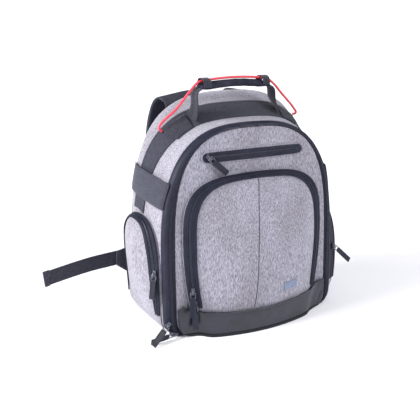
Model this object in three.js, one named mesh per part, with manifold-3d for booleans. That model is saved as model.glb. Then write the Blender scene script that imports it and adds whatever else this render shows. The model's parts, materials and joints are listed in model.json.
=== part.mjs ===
import * as THREE from 'three';
import { mergeVertices } from 'three/addons/utils/BufferGeometryUtils.js';
import Module from 'manifold-3d';

// Camera backpack, millimetres. +X to the viewer's right, +Y to the back, +Z up, origin on the floor
// at the middle of the base.

// Main compartment
const bodyHalfWidth = 177;
const bodyHeight = 380;
const backDepth = 75;
const frontDepth = 75;
const frontLean = 0.13;
const bodyCorner = 26;
const archFoot = 110;
const bodyWall = 4;
const clothGap = 0.35;

// Front edge: the zip band wraps from the front panel to the rim of the main compartment
const rimHalfWidth = 169;
const rimHeight = 343;
const panelHalfWidth = 149;
const panelHeight = 337;
const rimSetBack = 10;
const zipBandThickness = 3;
const panelThickness = 4;
const panelProud = 3;

// Front pocket
const pocketHalfWidth = 136;
const pocketHeight = 263;
const pocketFaceHalfWidth = 116;
const pocketFaceHeight = 257;
const pocketArchFoot = 150;
const pocketDepth = 39;
const pocketRimProud = 2;
const pocketWall = 3;
const pocketTuck = 0.17;
const floorSetIn = 14.5;
const tapeThickness = 1.5;
const tapeClearance = 0.4;

// Leather-like guard and binding round the foot of the front
const guardHeightMiddle = 41.5;
const guardHeightSide = 50;
const guardThickness = 2;
const bindingHeight = 4.5;
const bindingThickness = 3;
const guardClearance = 1.8;
const guardSideMargin = 2;
// At the right corner the stiff guard spans straight from the pocket to the zip, most at its foot
const guardBridgePower = 0.6;

// Zip of the flat top pocket
const topZipHalfLength = 95.5;
const topZipShare = 0.41;
const topZipHeight = pocketHeight + (panelHeight - pocketHeight) * topZipShare;
const topZipWidth = 16;

// Side pockets
const sidePocketMiddle = 3;
const sidePocketHalfLength = 59;
const sidePocketTop = 188;
const sidePocketBottom = 9;
const sideFaceHalfLength = 42;
const sideFaceTop = 182;
const sideTapeFrom = 34;
const sidePocketArchFoot = 105;
const leftPocketDepth = 25;
const rightPocketDepth = 41;
const sidePocketTuck = -0.05;
const sideFaceTuck = -0.3;
const sidePocketWall = 2.5;
const sideApexShift = 17;

// Bands over the body
const centreBandTopWidth = 38;
const centreBandSideWidth = 30;
const centreBandSideY = 17;
const centreBandTopY = -1;
const bandThickness = 1.2;
const elasticHeight = 43;
const elasticFrontZ = 213.5;
const elasticBackZ = 223;
const elasticFrontY = -40;
const elasticBackY = 64;
const elasticThickness = 1.6;
const elasticStandOff = 7;

// Handle and cord
const handleMiddle = -12;
const patchMiddle = -5;
const handleY = 16;
const gripHalfLength = 65;
const gripZ = 395.5;
const gripArch = 5;
const gripHalfDepth = 11;
const gripHalfHeight = 6.3;
const gripEndShare = 0.55;
const legWidth = 25;
const legThickness = 2.2;
const legGap = 0.7;
const legSeat = 4.3;
const patchNear = 88;
const patchFar = 124;
const patchSkew = 9;
const patchWidth = 29;
const patchThickness = 2.6;
const keeperWidth = 13.5;
const keeperThickness = 1.3;
const keeperHeadroom = 1.4;
const keeperInset = 9;
const cordDiameter = 4;

// Back, shoulder straps and waist straps
const backPanelHalfWidth = 120;
const backPanelTop = 336;
const backPanelBottom = 24;
const backPanelThickness = 12;
const shoulderWidth = 62;
const shoulderThickness = 10;
const shoulderTopX = 64;
const shoulderTilt = 0.34;
const shoulderRootShare = 0.6;
const strapShift = -9;
const webbingWidth = 25;
const webbingThickness = 1.8;
const webbingFootX = 158;
const webbingFootZ = 64;
const lockHeight = 22;
const lockThickness = 5;
const wingRootX = 133;
const wingTipX = 197;
const wingThickness = 3;
const waistLength = 129;
const waistWidth = 27;
const waistOverlap = 12;

// Zip sliders and pulls
const sliderLength = 13;
const sliderWidth = 9;
const sliderBase = 2.4;
const bridgeWidth = 2.6;
const bridgeSpan = 9;
const bridgeBeam = 1.2;
const pullWidth = 10;
const pullLength = 41;
const pullThickness = 1.6;
const pullWindow = 7;
const pullPlay = 0.4;

const gap = 0.3;

// Stations of the main compartment from the rim to the back, as shares of depth, width and height
const bodyStations = [
  { depth: 0.0, width: rimHalfWidth / bodyHalfWidth, height: rimHeight / bodyHeight, power: 2.8 },
  { depth: 0.24, width: 0.966, height: 0.908, power: 2.9 },
  { depth: 0.54, width: 0.983, height: 0.95, power: 3.1 },
  { depth: 0.84, width: 1.0, height: 1.0, power: 3.3 },
  { depth: 0.94, width: 0.983, height: 0.996, power: 3.3 },
  { depth: 1.0, width: 0.93, height: 0.975, power: 3.3 },
];
const outlineSteps = { base: 3, corner: 4, side: 3, arch: 13 };
const sidePower = 2.9;

// How far the front pocket's face stands out, by height, as shares of its depth, and how much of
// that is lost towards its sides
const pocketCrown = [
  { height: 0.0, depth: 0.83, side: 0.68 },
  { height: 0.19, depth: 0.9, side: 0.67 },
  { height: 0.38, depth: 1.0, side: 0.7 },
  { height: 0.57, depth: 0.98, side: 0.6 },
  { height: 0.76, depth: 0.84, side: 0.6 },
  { height: 0.92, depth: 0.6, side: 0.6 },
  { height: 1.0, depth: 0.47, side: 0.6 },
];

// The same for each side pocket
const leftCrown = [
  { height: 0.0, depth: 0.12, side: 0.45 },
  { height: 0.14, depth: 0.3, side: 0.45 },
  { height: 0.27, depth: 0.54, side: 0.45 },
  { height: 0.4, depth: 0.76, side: 0.45 },
  { height: 0.53, depth: 0.92, side: 0.45 },
  { height: 0.7, depth: 1.0, side: 0.45 },
  { height: 0.85, depth: 0.95, side: 0.45 },
  { height: 1.0, depth: 0.64, side: 0.45 },
];
const rightCrown = [
  { height: 0.0, depth: 0.6, side: 0.3 },
  { height: 0.14, depth: 0.84, side: 0.3 },
  { height: 0.27, depth: 0.96, side: 0.3 },
  { height: 0.4, depth: 1.0, side: 0.3 },
  { height: 0.53, depth: 0.95, side: 0.3 },
  { height: 0.7, depth: 0.82, side: 0.3 },
  { height: 0.85, depth: 0.6, side: 0.3 },
  { height: 1.0, depth: 0.3, side: 0.3 },
];

const wasm = await Module();
wasm.setup();

const lerp = (a, b, t) => a + (b - a) * t;
const vec = (x, y, z) => new THREE.Vector3(x, y, z);

// Value of a table's column at a share, straight between its rows
function tableValue(rows, key, share, column) {
  const next = Math.max(1, rows.findIndex((row) => row[key] >= share));
  const index = share >= rows[rows.length - 1][key] ? rows.length - 1 : next;
  const low = rows[index - 1];
  const high = rows[index];
  const t = Math.min(1, Math.max(0, (share - low[key]) / (high[key] - low[key])));
  return lerp(low[column], high[column], t);
}

const frontY = (z) => -frontDepth + frontLean * z;

// Geometry from points and triangles, turned inside out if its faces point in
function solidFrom(points, triangles) {
  let volume = 0;
  for (const [a, b, c] of triangles) {
    volume += points[a].dot(points[b].clone().cross(points[c]));
  }
  const order = volume < 0 ? [0, 2, 1] : [0, 1, 2];
  const geometry = new THREE.BufferGeometry();
  geometry.setFromPoints(points);
  geometry.setIndex(triangles.flatMap((triangle) => order.map((corner) => triangle[corner])));
  return geometry;
}

// Solid through closed rings; a ring of one point is a tip, any other end ring is closed flat
function loft(rings) {
  const points = [];
  const starts = [];
  for (const ring of rings) {
    starts.push(points.length);
    points.push(...ring);
  }
  const triangles = [];
  for (let r = 0; r + 1 < rings.length; r += 1) {
    const countA = rings[r].length;
    const countB = rings[r + 1].length;
    const count = Math.max(countA, countB);
    for (let i = 0; i < count; i += 1) {
      const a0 = starts[r] + (i % countA);
      const a1 = starts[r] + ((i + 1) % countA);
      const b0 = starts[r + 1] + (i % countB);
      const b1 = starts[r + 1] + ((i + 1) % countB);
      if (a0 !== a1) triangles.push([a0, a1, b0]);
      if (b0 !== b1) triangles.push([a1, b1, b0]);
    }
  }
  const closeEnd = (r, flip) => {
    const ring = rings[r];
    if (ring.length === 1) return;
    const middle = ring.reduce((sum, p) => sum.add(p), vec(0, 0, 0)).divideScalar(ring.length);
    points.push(middle);
    for (let i = 0; i < ring.length; i += 1) {
      const a = starts[r] + i;
      const b = starts[r] + ((i + 1) % ring.length);
      triangles.push(flip ? [points.length - 1, b, a] : [points.length - 1, a, b]);
    }
  };
  closeEnd(0, true);
  closeEnd(rings.length - 1, false);
  return solidFrom(points, triangles);
}

// Solid between two grids of points with the same rows and columns
function slab(outer, inner) {
  const rows = outer.length;
  const columns = outer[0].length;
  const points = [...outer.flat(), ...inner.flat()];
  const out = (r, c) => r * columns + c;
  const ins = (r, c) => rows * columns + r * columns + c;
  const triangles = [];
  const quad = (a, b, c, d) => triangles.push([a, b, d], [b, c, d]);
  for (let r = 0; r + 1 < rows; r += 1) {
    for (let c = 0; c + 1 < columns; c += 1) {
      quad(out(r, c), out(r, c + 1), out(r + 1, c + 1), out(r + 1, c));
      quad(ins(r, c), ins(r + 1, c), ins(r + 1, c + 1), ins(r, c + 1));
    }
  }
  for (let r = 0; r + 1 < rows; r += 1) {
    quad(out(r, 0), out(r + 1, 0), ins(r + 1, 0), ins(r, 0));
    quad(out(r + 1, columns - 1), out(r, columns - 1), ins(r, columns - 1), ins(r + 1, columns - 1));
  }
  for (let c = 0; c + 1 < columns; c += 1) {
    quad(out(0, c + 1), out(0, c), ins(0, c), ins(0, c + 1));
    quad(out(rows - 1, c), out(rows - 1, c + 1), ins(rows - 1, c + 1), ins(rows - 1, c));
  }
  return solidFrom(points, triangles);
}

function toManifold(geometry) {
  const bare = geometry.clone();
  bare.deleteAttribute('normal');
  bare.deleteAttribute('uv');
  const merged = mergeVertices(bare, 1e-4);
  return new wasm.Manifold(new wasm.Mesh({
    numProp: 3,
    vertProperties: new Float32Array(merged.attributes.position.array),
    triVerts: new Uint32Array(merged.index.array),
  }));
}

function fromManifold(solid) {
  const mesh = solid.getMesh();
  const geometry = new THREE.BufferGeometry();
  geometry.setAttribute('position', new THREE.BufferAttribute(mesh.vertProperties, 3));
  geometry.setIndex(new THREE.BufferAttribute(mesh.triVerts, 1));
  return geometry;
}

const cut = (solid, tool) => fromManifold(toManifold(solid).subtract(toManifold(tool)));
const join = (first, second) => fromManifold(toManifold(first).add(toManifold(second)));

const backpack = new THREE.Group();
backpack.name = 'camera_backpack';

const finishes = {
  heather: { color: '#b4b1c2', roughness: 0.95, metalness: 0 },
  darkCloth: { color: '#3c3f4e', roughness: 0.85, metalness: 0 },
  bandCloth: { color: '#45464e', roughness: 0.9, metalness: 0 },
  elastic: { color: '#555865', roughness: 0.8, metalness: 0 },
  guard: { color: '#3c3f50', roughness: 0.45, metalness: 0 },
  binding: { color: '#1c1d24', roughness: 0.8, metalness: 0 },
  webbing: { color: '#2a2b33', roughness: 0.75, metalness: 0 },
  padding: { color: '#34363f', roughness: 0.9, metalness: 0 },
  plastic: { color: '#1b1c21', roughness: 0.5, metalness: 0 },
  gunmetal: { color: '#4b4d55', roughness: 0.35, metalness: 1 },
  pullRubber: { color: '#16171c', roughness: 0.55, metalness: 0 },
  cord: { color: '#e13246', roughness: 0.6, metalness: 0 },
};

function addPiece(name, geometry, finish, parent = backpack) {
  const mesh = new THREE.Mesh(geometry, new THREE.MeshStandardMaterial(finishes[finish]));
  mesh.name = name;
  parent.add(mesh);
  return mesh;
}

// Outline seen from the front, from the middle of the base up one side to the top
function halfOutline({ halfWidth, top, bottom, corner, power }) {
  const points = [];
  for (let i = 0; i < outlineSteps.base; i += 1) {
    points.push([((halfWidth - corner) * i) / outlineSteps.base, bottom]);
  }
  for (let i = 0; i < outlineSteps.corner; i += 1) {
    const angle = (Math.PI / 2) * (i / outlineSteps.corner);
    points.push([halfWidth - corner + corner * Math.sin(angle), bottom + corner * (1 - Math.cos(angle))]);
  }
  for (let i = 0; i < outlineSteps.side; i += 1) {
    points.push([halfWidth, lerp(bottom + corner, archFoot, i / outlineSteps.side)]);
  }
  for (let i = 0; i <= outlineSteps.arch; i += 1) {
    points.push(archPoint({ halfWidth, top, power }, (Math.PI / 2) * (i / outlineSteps.arch)));
  }
  return points;
}

// Point on the arched upper part of an outline
function archPoint({ halfWidth, top, power, foot = archFoot, side = sidePower }, angle) {
  const across = Math.max(0, Math.cos(angle)) ** (2 / side);
  return [halfWidth * across, foot + (top - foot) * Math.sin(angle) ** (2 / power)];
}

function closedOutline(shape) {
  const half = halfOutline(shape);
  const mirrored = half.slice(1, -1).reverse().map(([x, z]) => [-x, z]);
  return [...half, ...mirrored];
}

function bodyShape(share, inset = 0) {
  return {
    halfWidth: bodyHalfWidth * tableValue(bodyStations, 'depth', share, 'width') - inset,
    top: bodyHeight * tableValue(bodyStations, 'depth', share, 'height') - inset,
    bottom: inset,
    corner: bodyCorner - inset,
    power: tableValue(bodyStations, 'depth', share, 'power'),
  };
}

const rimY = (z) => frontY(z) + rimSetBack;
const bodyY = (z, share) => lerp(rimY(z), backDepth, share);
const depthShare = (y, z) => (y - rimY(z)) / (backDepth - rimY(z));

// Half width of the main compartment at a depth and height
function bodySideX(y, z) {
  const { halfWidth, top, corner, power } = bodyShape(Math.min(1, Math.max(0, depthShare(y, z))));
  if (z < corner) return halfWidth - corner + Math.sqrt(corner ** 2 - (corner - z) ** 2);
  if (z < archFoot) return halfWidth;
  const rise = Math.min(1, (z - archFoot) / (top - archFoot));
  return halfWidth * (1 - rise ** power) ** (1 / sidePower);
}

// Point over the arched top at a depth, lifted off the surface
function overBody(side, angle, y, lift) {
  let share = 0.5;
  let point = [0, 0];
  for (let i = 0; i < 8; i += 1) {
    point = archPoint(bodyShape(share), angle);
    share = Math.min(1, Math.max(0, depthShare(y, point[1])));
  }
  const step = 0.01;
  const before = archPoint(bodyShape(share), Math.max(0, angle - step));
  const after = archPoint(bodyShape(share), Math.min(Math.PI / 2, angle + step));
  const normal = new THREE.Vector2(after[1] - before[1], before[0] - after[0]).normalize();
  return vec(side * (point[0] + normal.x * lift), y, point[1] + normal.y * lift);
}

// Angle round the arch at which the body reaches a height, or a place across, about half way back
const middleShape = bodyShape(0.5);
const angleAtHeight = (z) => Math.asin(
  ((z - archFoot) / (middleShape.top - archFoot)) ** (middleShape.power / 2),
);
const angleAtX = (x) => Math.acos((Math.abs(x) / middleShape.halfWidth) ** (sidePower / 2));

// Main compartment: a tray open at the front
const bodyRing = (share, inset) => closedOutline(bodyShape(share, inset))
  .map(([x, z]) => vec(x, bodyY(z, share), z));
function makeMainShell() {
  const outer = loft(bodyStations.map(({ depth }) => bodyRing(depth, 0)));
  const backInside = 1 - bodyWall / (backDepth + frontDepth - rimSetBack);
  const insideShares = [-0.05, ...bodyStations.slice(0, -2).map(({ depth }) => depth), backInside];
  const inner = loft(insideShares.map((share) => bodyRing(share, bodyWall)));
  return cut(outer, inner);
}
addPiece('main_shell', makeMainShell(), 'heather');

// Zip band round the front edge, from one lower corner over the top to the other
const panelEdge = {
  halfWidth: panelHalfWidth, top: panelHeight, bottom: 0, corner: bodyCorner - 4, power: 3.4,
};
const zipSection = [
  { mix: 0.02, inset: 0, depth: -2.2 },
  { mix: 0.4, inset: 0, depth: -3.6 },
  { mix: 0.78, inset: 0, depth: -1.2 },
  { mix: 0.97, inset: 0, depth: 4 },
  { mix: 1, inset: 0, depth: rimSetBack - gap },
];
const zipSectionInside = [
  { mix: 0.02, inset: 0, depth: 1 },
  { mix: 0.38, inset: 1, depth: 0.2 },
  { mix: 0.72, inset: 2, depth: 2 },
  { mix: 0.9, inset: zipBandThickness, depth: 5 },
  { mix: 1, inset: zipBandThickness, depth: rimSetBack - gap },
];
function makeMainZip() {
  const edge = closedOutline(panelEdge);
  const rim = closedOutline(bodyShape(0));
  const first = outlineSteps.base + 1;
  const last = rim.length - first;
  const pointAt = (i, { mix, inset, depth }) => {
    const before = rim[i - 1];
    const after = rim[i + 1] ?? rim[0];
    const normal = new THREE.Vector2(after[1] - before[1], before[0] - after[0]).normalize();
    const x = lerp(edge[i][0], rim[i][0], mix) - normal.x * inset;
    const z = lerp(edge[i][1], rim[i][1], mix) - normal.y * inset;
    return vec(x, frontY(z) + depth, z);
  };
  const outer = [];
  const inner = [];
  for (let i = first; i <= last; i += 1) {
    outer.push(zipSection.map((spot) => pointAt(i, spot)));
    inner.push(zipSectionInside.map((spot) => pointAt(i, spot)));
  }
  return slab(outer, inner);
}
addPiece('main_zip', makeMainZip(), 'darkCloth');

// Turns a flat shape in X and Z, extruded backwards, to the lean of the front
function leaningPlate(outline, depth, proud) {
  const shape = new THREE.Shape(outline.map(([x, z]) => new THREE.Vector2(x, z)));
  const geometry = new THREE.ExtrudeGeometry(shape, { depth, bevelEnabled: false, steps: 1 });
  const position = geometry.attributes.position;
  for (let i = 0; i < position.count; i += 1) {
    const x = position.getX(i);
    const z = position.getY(i);
    position.setXYZ(i, x, frontY(z) - proud + position.getZ(i), z);
  }
  return flipped(geometry);
}

// Same geometry with its faces turned round, for a frame that was mirrored
function flipped(geometry) {
  const merged = bareMerged(geometry);
  const index = merged.index.array;
  for (let i = 0; i < index.length; i += 3) {
    [index[i + 1], index[i + 2]] = [index[i + 2], index[i + 1]];
  }
  return merged;
}

function bareMerged(geometry) {
  const bare = geometry.clone();
  bare.deleteAttribute('normal');
  bare.deleteAttribute('uv');
  return mergeVertices(bare, 1e-4);
}

// Front panel inside the zip band
const pocketFloor = pocketWall;
function makeFrontPanel() {
  const outline = closedOutline({
    ...panelEdge,
    halfWidth: panelHalfWidth - gap,
    top: panelHeight - gap,
    bottom: pocketFloor + gap,
  });
  return leaningPlate(outline, panelThickness, panelProud);
}
addPiece('front_panel', makeFrontPanel(), 'heather');

// Inverted U of a pocket: up one side, over the top and down the other. The tape starts at the
// height tapeFrom, which is a step of the outline
const tapeStart = 2;
function pocketOutline(shape, bottom) {
  const { halfWidth, top, foot, power, archSteps, tapeFrom } = shape;
  const heights = [bottom, lerp(bottom, tapeFrom, 0.5), tapeFrom, lerp(tapeFrom, foot, 0.35), lerp(tapeFrom, foot, 0.7)];
  const right = heights.map((z) => [pocketHalfWidthAt(shape, z), z]);
  for (let i = 0; i <= archSteps; i += 1) {
    right.push(archPoint({ halfWidth, top, power, foot, side: power }, (Math.PI / 2) * (i / archSteps)));
  }
  const left = right.slice(0, -1).reverse().map(([a, z]) => [-a, z]);
  return [...right, ...left].map(([a, z]) => [a + pocketLean(shape, z), z]);
}

// Half width of a pocket's outline below its arch, where it draws in towards the foot
const pocketHalfWidthAt = ({ halfWidth, foot, tuck }, z) => halfWidth * (1 - tuck * ((foot - z) / foot) ** 2);
const pocketLean = ({ shift = 0, top }, z) => shift * (Math.max(0, z) / top) ** 2;

// How far a pocket's face stands out at a place across and up
function pocketStandOff({ outer, face, crown, depth }, a, z) {
  const share = (z - outer.base) / (face.top - outer.base);
  const across = Math.min(1, Math.abs(a - pocketLean(outer, z)) / face.halfWidth);
  const drop = tableValue(crown, 'height', share, 'side') * across ** 2;
  return depth * tableValue(crown, 'height', share, 'depth') * (1 - drop);
}

// Closed rings of a pocket that stands off a surface, from the back over the rim to the middle of
// the face; place(a, z, standOff) puts each point
function pocketRings(pocket) {
  const { outer, face, bottom, backOff, rimOff, inset, faceRings, place } = pocket;
  const shrink = (shape) => ({ ...shape, halfWidth: shape.halfWidth - inset, top: shape.top - inset });
  const rim = pocketOutline(shrink(outer), bottom);
  const edge = pocketOutline(shrink(face), bottom);
  const standOff = (a, z) => pocketStandOff(pocket, a, z) - inset;
  const scaled = (outline, k) => outline.map(([a, z]) => [a * k, bottom + (z - bottom) * k]);
  const rings = [[place(0, bottom, backOff)]];
  for (const k of [0.35, 0.7, 1]) {
    rings.push(scaled(rim, k).map(([a, z]) => place(a, z, backOff)));
  }
  for (const t of rimOff > backOff ? [0, 0.5] : [0.5]) {
    rings.push(rim.map(([a, z], i) => {
      const [b, y] = edge[i];
      const off = lerp(rimOff, standOff(b, y), t);
      return place(lerp(a, b, t), lerp(z, y, t), off);
    }));
  }
  for (const k of faceRings) {
    rings.push(scaled(edge, k).map(([a, z]) => place(a, z, standOff(a, z))));
  }
  rings.push([place(0, bottom, standOff(0, bottom))]);
  return rings;
}

function pocketShell(options, wall) {
  const outer = loft(pocketRings({ ...options, inset: 0 }));
  const inner = loft(pocketRings({
    ...options, inset: wall, bottom: options.bottom + wall, backOff: -2 * wall, rimOff: -2 * wall,
  }));
  return cut(outer, inner);
}

// Point on the sloping band between a pocket's rim and its face edge, lifted off the band
function bandPoint(pocket, [a, z], [b, y], t, lift) {
  const { rimOff, place } = pocket;
  const off = pocketStandOff(pocket, b, y);
  const spread = Math.hypot(a - b, z - y);
  const length = Math.hypot(spread, off - rimOff);
  const outward = (lift * (off - rimOff)) / (length * spread);
  const forward = (lift * spread) / length;
  return place(
    lerp(a, b, t) + (a - b) * outward,
    lerp(z, y, t) + (z - y) * outward,
    lerp(rimOff, off, t) + forward,
  );
}

// Tape lying on the sloping band
function pocketTape(pocket) {
  const rim = pocketOutline(pocket.outer, pocket.bottom);
  const edge = pocketOutline(pocket.face, pocket.bottom);
  const layer = (lift) => {
    const rows = [];
    for (let i = tapeStart; i < rim.length - tapeStart; i += 1) {
      rows.push([0.03, 0.5, 0.97].map((t) => bandPoint(pocket, rim[i], edge[i], t, lift)));
    }
    return rows;
  };
  return slab(layer(tapeClearance + tapeThickness), layer(tapeClearance));
}

const sliderSeat = tapeClearance + tapeThickness + 2.5 * gap;

// Where a zip slider sits on a pocket's tape, on the side of a, and which way the tape faces there
function tapeSeat(pocket, side, z, t) {
  const spot = (shape) => [side * pocketHalfWidthAt(shape, z) + pocketLean(shape, z), z];
  const at = bandPoint(pocket, spot(pocket.outer), spot(pocket.face), t, sliderSeat);
  const above = bandPoint(pocket, spot(pocket.outer), spot(pocket.face), t, sliderSeat + 1);
  return { at, out: above.sub(at) };
}

// Front pocket on the front panel
const panelFront = panelProud + gap;
const frontPocketShape = {
  foot: pocketArchFoot, tuck: pocketTuck, base: 0, archSteps: 10, tapeFrom: guardHeightSide + gap,
};
const frontPocket = {
  outer: { ...frontPocketShape, halfWidth: pocketHalfWidth, top: pocketHeight, power: 3.6 },
  face: { ...frontPocketShape, halfWidth: pocketFaceHalfWidth, top: pocketFaceHeight, power: 3.4 },
  bottom: 0,
  crown: pocketCrown,
  depth: pocketDepth,
  backOff: 0,
  rimOff: pocketRimProud,
  faceRings: [1, 0.86, 0.7, 0.52, 0.34, 0.17],
  place: (a, z, off) => vec(a, frontY(z) - panelFront - off, z),
};

// Cloth floor that closes the foot of the front, from the pocket back to the main compartment
function makeFrontFloor() {
  const floorFront = frontY(0) - panelFront - 2 * gap;
  const floorBack = rimY(0) - gap;
  const floorHalfWidth = panelHalfWidth - floorSetIn;
  const plate = new THREE.BoxGeometry(2 * floorHalfWidth, floorBack - floorFront, pocketFloor);
  plate.translate(0, (floorBack + floorFront) / 2, pocketFloor / 2);
  return plate;
}
addPiece('front_pocket', join(pocketShell(frontPocket, pocketWall), makeFrontFloor()), 'heather');
addPiece('pocket_zip', pocketTape(frontPocket), 'darkCloth');

// How far the pocket or the panel beside it stands out at a height, by place across
function frontStandOff(column, z) {
  const narrow = 1 - pocketTuck * (Math.max(0, pocketArchFoot - z) / pocketArchFoot) ** 2;
  const edge = pocketHalfWidth * narrow;
  const face = pocketFaceHalfWidth * narrow;
  const side = Math.sign(column);
  const place = Math.abs(column);
  const rise = tableValue(pocketCrown, 'height', z / pocketFaceHeight, 'depth');
  const drop = tableValue(pocketCrown, 'height', z / pocketFaceHeight, 'side');
  const faceOff = pocketDepth * rise * (1 - drop);
  if (place <= 1) {
    const a = place * face;
    const fall = 1 - drop * (a / pocketFaceHalfWidth) ** 2;
    return { x: side * a, off: pocketDepth * rise * fall };
  }
  const corner = bodyCorner - 4;
  const under = Math.max(0, corner - z);
  const panel = panelHalfWidth - corner + Math.sqrt(corner ** 2 - under ** 2) - guardSideMargin;
  const bridge = side > 0 ? Math.max(0, 1 - z / guardHeightSide) ** guardBridgePower : 0;
  const bridged = (x, off) => lerp(off, (faceOff * (panel - x)) / (panel - face), bridge);
  if (place <= 2) {
    const x = lerp(face, edge, place - 1);
    return { x: side * x, off: bridged(x, lerp(faceOff, pocketRimProud, place - 1)) };
  }
  const x = lerp(edge, panel, place - 2);
  return { x: side * x, off: bridged(x, lerp(pocketRimProud, 0, place - 2)) };
}

// Guard round the foot of the front, and the black binding below it
const guardColumns = [
  -3, -2.5, -2, -1.5, -1, -0.8, -0.6, -0.4, -0.2, 0, 0.2, 0.4, 0.6, 0.8, 1, 1.5, 2, 2.5, 3,
];
function footWrap(lowAt, highAt, thickness, rows) {
  const layer = (lift) => {
    const grid = [];
    for (let r = 0; r <= rows; r += 1) {
      grid.push(guardColumns.map((column) => {
        const z = lerp(lowAt(column), highAt(column), r / rows);
        const { x, off } = frontStandOff(column, z);
        const spread = 1 + 0.35 * Math.min(1, Math.abs(column)) ** 2;
        const slide = Math.sign(column) * Math.min(1, Math.max(0, Math.abs(column) - 0.5)) * lift * 0.6;
        const outside = Math.abs(column) >= 2.5 ? 0 : slide;
        return vec(x + outside, frontY(z) - panelFront - off - lift * spread, z);
      }));
    }
    return grid;
  };
  return slab(layer(guardClearance + thickness), layer(guardClearance));
}
const guardTopAt = (column) => lerp(guardHeightMiddle, guardHeightSide, Math.min(1, Math.abs(column) / 2) ** 2);
addPiece('base_guard', footWrap(() => bindingHeight + gap, guardTopAt, guardThickness, 4), 'guard');
addPiece('base_binding', footWrap(() => 0, () => bindingHeight, bindingThickness, 1), 'binding');

// Zip of the flat top pocket, a strip with round ends
function makeTopZip() {
  const radius = topZipWidth / 2;
  const outline = [];
  const steps = 6;
  for (const [side, start] of [[1, -Math.PI / 2], [-1, Math.PI / 2]]) {
    for (let i = 0; i <= steps; i += 1) {
      const angle = start + (Math.PI * i) / steps;
      const middle = side * (topZipHalfLength - radius);
      outline.push([middle + radius * Math.cos(angle), topZipHeight + radius * Math.sin(angle)]);
    }
  }
  return leaningPlate(outline, tapeThickness, panelFront + tapeThickness);
}
addPiece('top_pocket_zip', makeTopZip(), 'darkCloth');

// Side pockets; a runs back from the middle of the pocket
const sidePocketShape = {
  foot: sidePocketArchFoot, base: sidePocketBottom, archSteps: 8, shift: sideApexShift, tapeFrom: sideTapeFrom,
};
function sidePocket(side, crown, depth) {
  return {
    outer: {
      ...sidePocketShape, halfWidth: sidePocketHalfLength, top: sidePocketTop, power: 2.4, tuck: sidePocketTuck,
    },
    face: {
      ...sidePocketShape, halfWidth: sideFaceHalfLength, top: sideFaceTop, power: 2.6, tuck: sideFaceTuck,
    },
    bottom: sidePocketBottom,
    crown,
    depth,
    backOff: -sidePocketWall,
    rimOff: clothGap + 1.5,
    faceRings: [1, 0.82, 0.58, 0.3],
    place: (a, z, off) => {
      const y = sidePocketMiddle + a;
      return vec(side * (bodySideX(y, Math.max(0, z)) + off), y, z);
    },
  };
}
const bodyClearance = loft(bodyStations.map(({ depth }) => bodyRing(depth, -gap)));
const sidePockets = {
  left: sidePocket(-1, leftCrown, leftPocketDepth), right: sidePocket(1, rightCrown, rightPocketDepth),
};
for (const [word, pocket] of Object.entries(sidePockets)) {
  addPiece(`side_pocket_${word}`, cut(pocketShell(pocket, sidePocketWall), bodyClearance), 'heather');
  addPiece(`side_zip_${word}`, cut(pocketTape(pocket), bodyClearance), 'darkCloth');
}

// Height at which a side pocket's edge crosses a place along the side
function sideEdgeHeight(y) {
  const a = y - sidePocketMiddle;
  const edge = pocketOutline(sidePockets.left.outer, sidePocketBottom).filter(([, z]) => z > sidePocketArchFoot);
  const next = edge.findIndex(([b], i) => i > 0 && (a - b) * (a - edge[i - 1][0]) <= 0);
  if (next < 0) return sidePocketArchFoot;
  const [[b0, z0], [b1, z1]] = [edge[next - 1], edge[next]];
  return lerp(z0, z1, (a - b0) / (b1 - b0));
}

// Centre band up the sides and over the top, from the edge of one side pocket to the other's
const bandFootClearance = 2;
function makeCentreBand() {
  const lowest = angleAtHeight(sidePocketTop + bandFootClearance);
  const stepAngle = Math.PI / 2 / outlineSteps.arch;
  const angles = [];
  for (let i = outlineSteps.arch; i * stepAngle > lowest + 0.02; i -= 1) angles.unshift(i * stepAngle);
  angles.unshift(lowest);
  const spots = [...angles.map((angle) => [-1, angle]), ...angles.slice(0, -1).reverse().map((angle) => [1, angle])];
  const layer = (lift) => spots.map(([side, angle]) => {
    const share = Math.sin(angle) ** 2;
    const start = lerp(centreBandSideY, centreBandTopY, share);
    const width = lerp(centreBandSideWidth, centreBandTopWidth, share);
    return [0, 1 / 3, 2 / 3, 1].map((t) => {
      const y = start + width * t;
      const foot = angleAtHeight(sideEdgeHeight(y) + bandFootClearance);
      return overBody(side, angle === lowest ? foot : angle, y, lift);
    });
  });
  return slab(layer(clothGap + bandThickness), layer(clothGap));
}
addPiece('centre_band', makeCentreBand(), 'bandCloth');

// Wide elastic bands, sewn at both ends and standing off the side between them
const bandTop = clothGap + bandThickness + clothGap;
function makeElastic(side) {
  const layer = (lift) => {
    const rows = [];
    for (const up of [0, 0.5, 1]) {
      const row = [];
      for (let i = 0; i <= 10; i += 1) {
        const t = i / 10;
        const y = lerp(elasticFrontY, elasticBackY, t);
        const z = lerp(elasticFrontZ, elasticBackZ, t) + elasticHeight * up;
        const off = clothGap + (elasticStandOff - clothGap) * Math.sin(Math.PI * t) ** 0.6;
        row.push(vec(side * (bodySideX(y, z) + off + lift), y, z));
      }
      rows.push(row);
    }
    return rows;
  };
  return slab(layer(elasticThickness), layer(0));
}
addPiece('elastic_left', makeElastic(-1), 'elastic');
addPiece('elastic_right', makeElastic(1), 'elastic');

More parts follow.
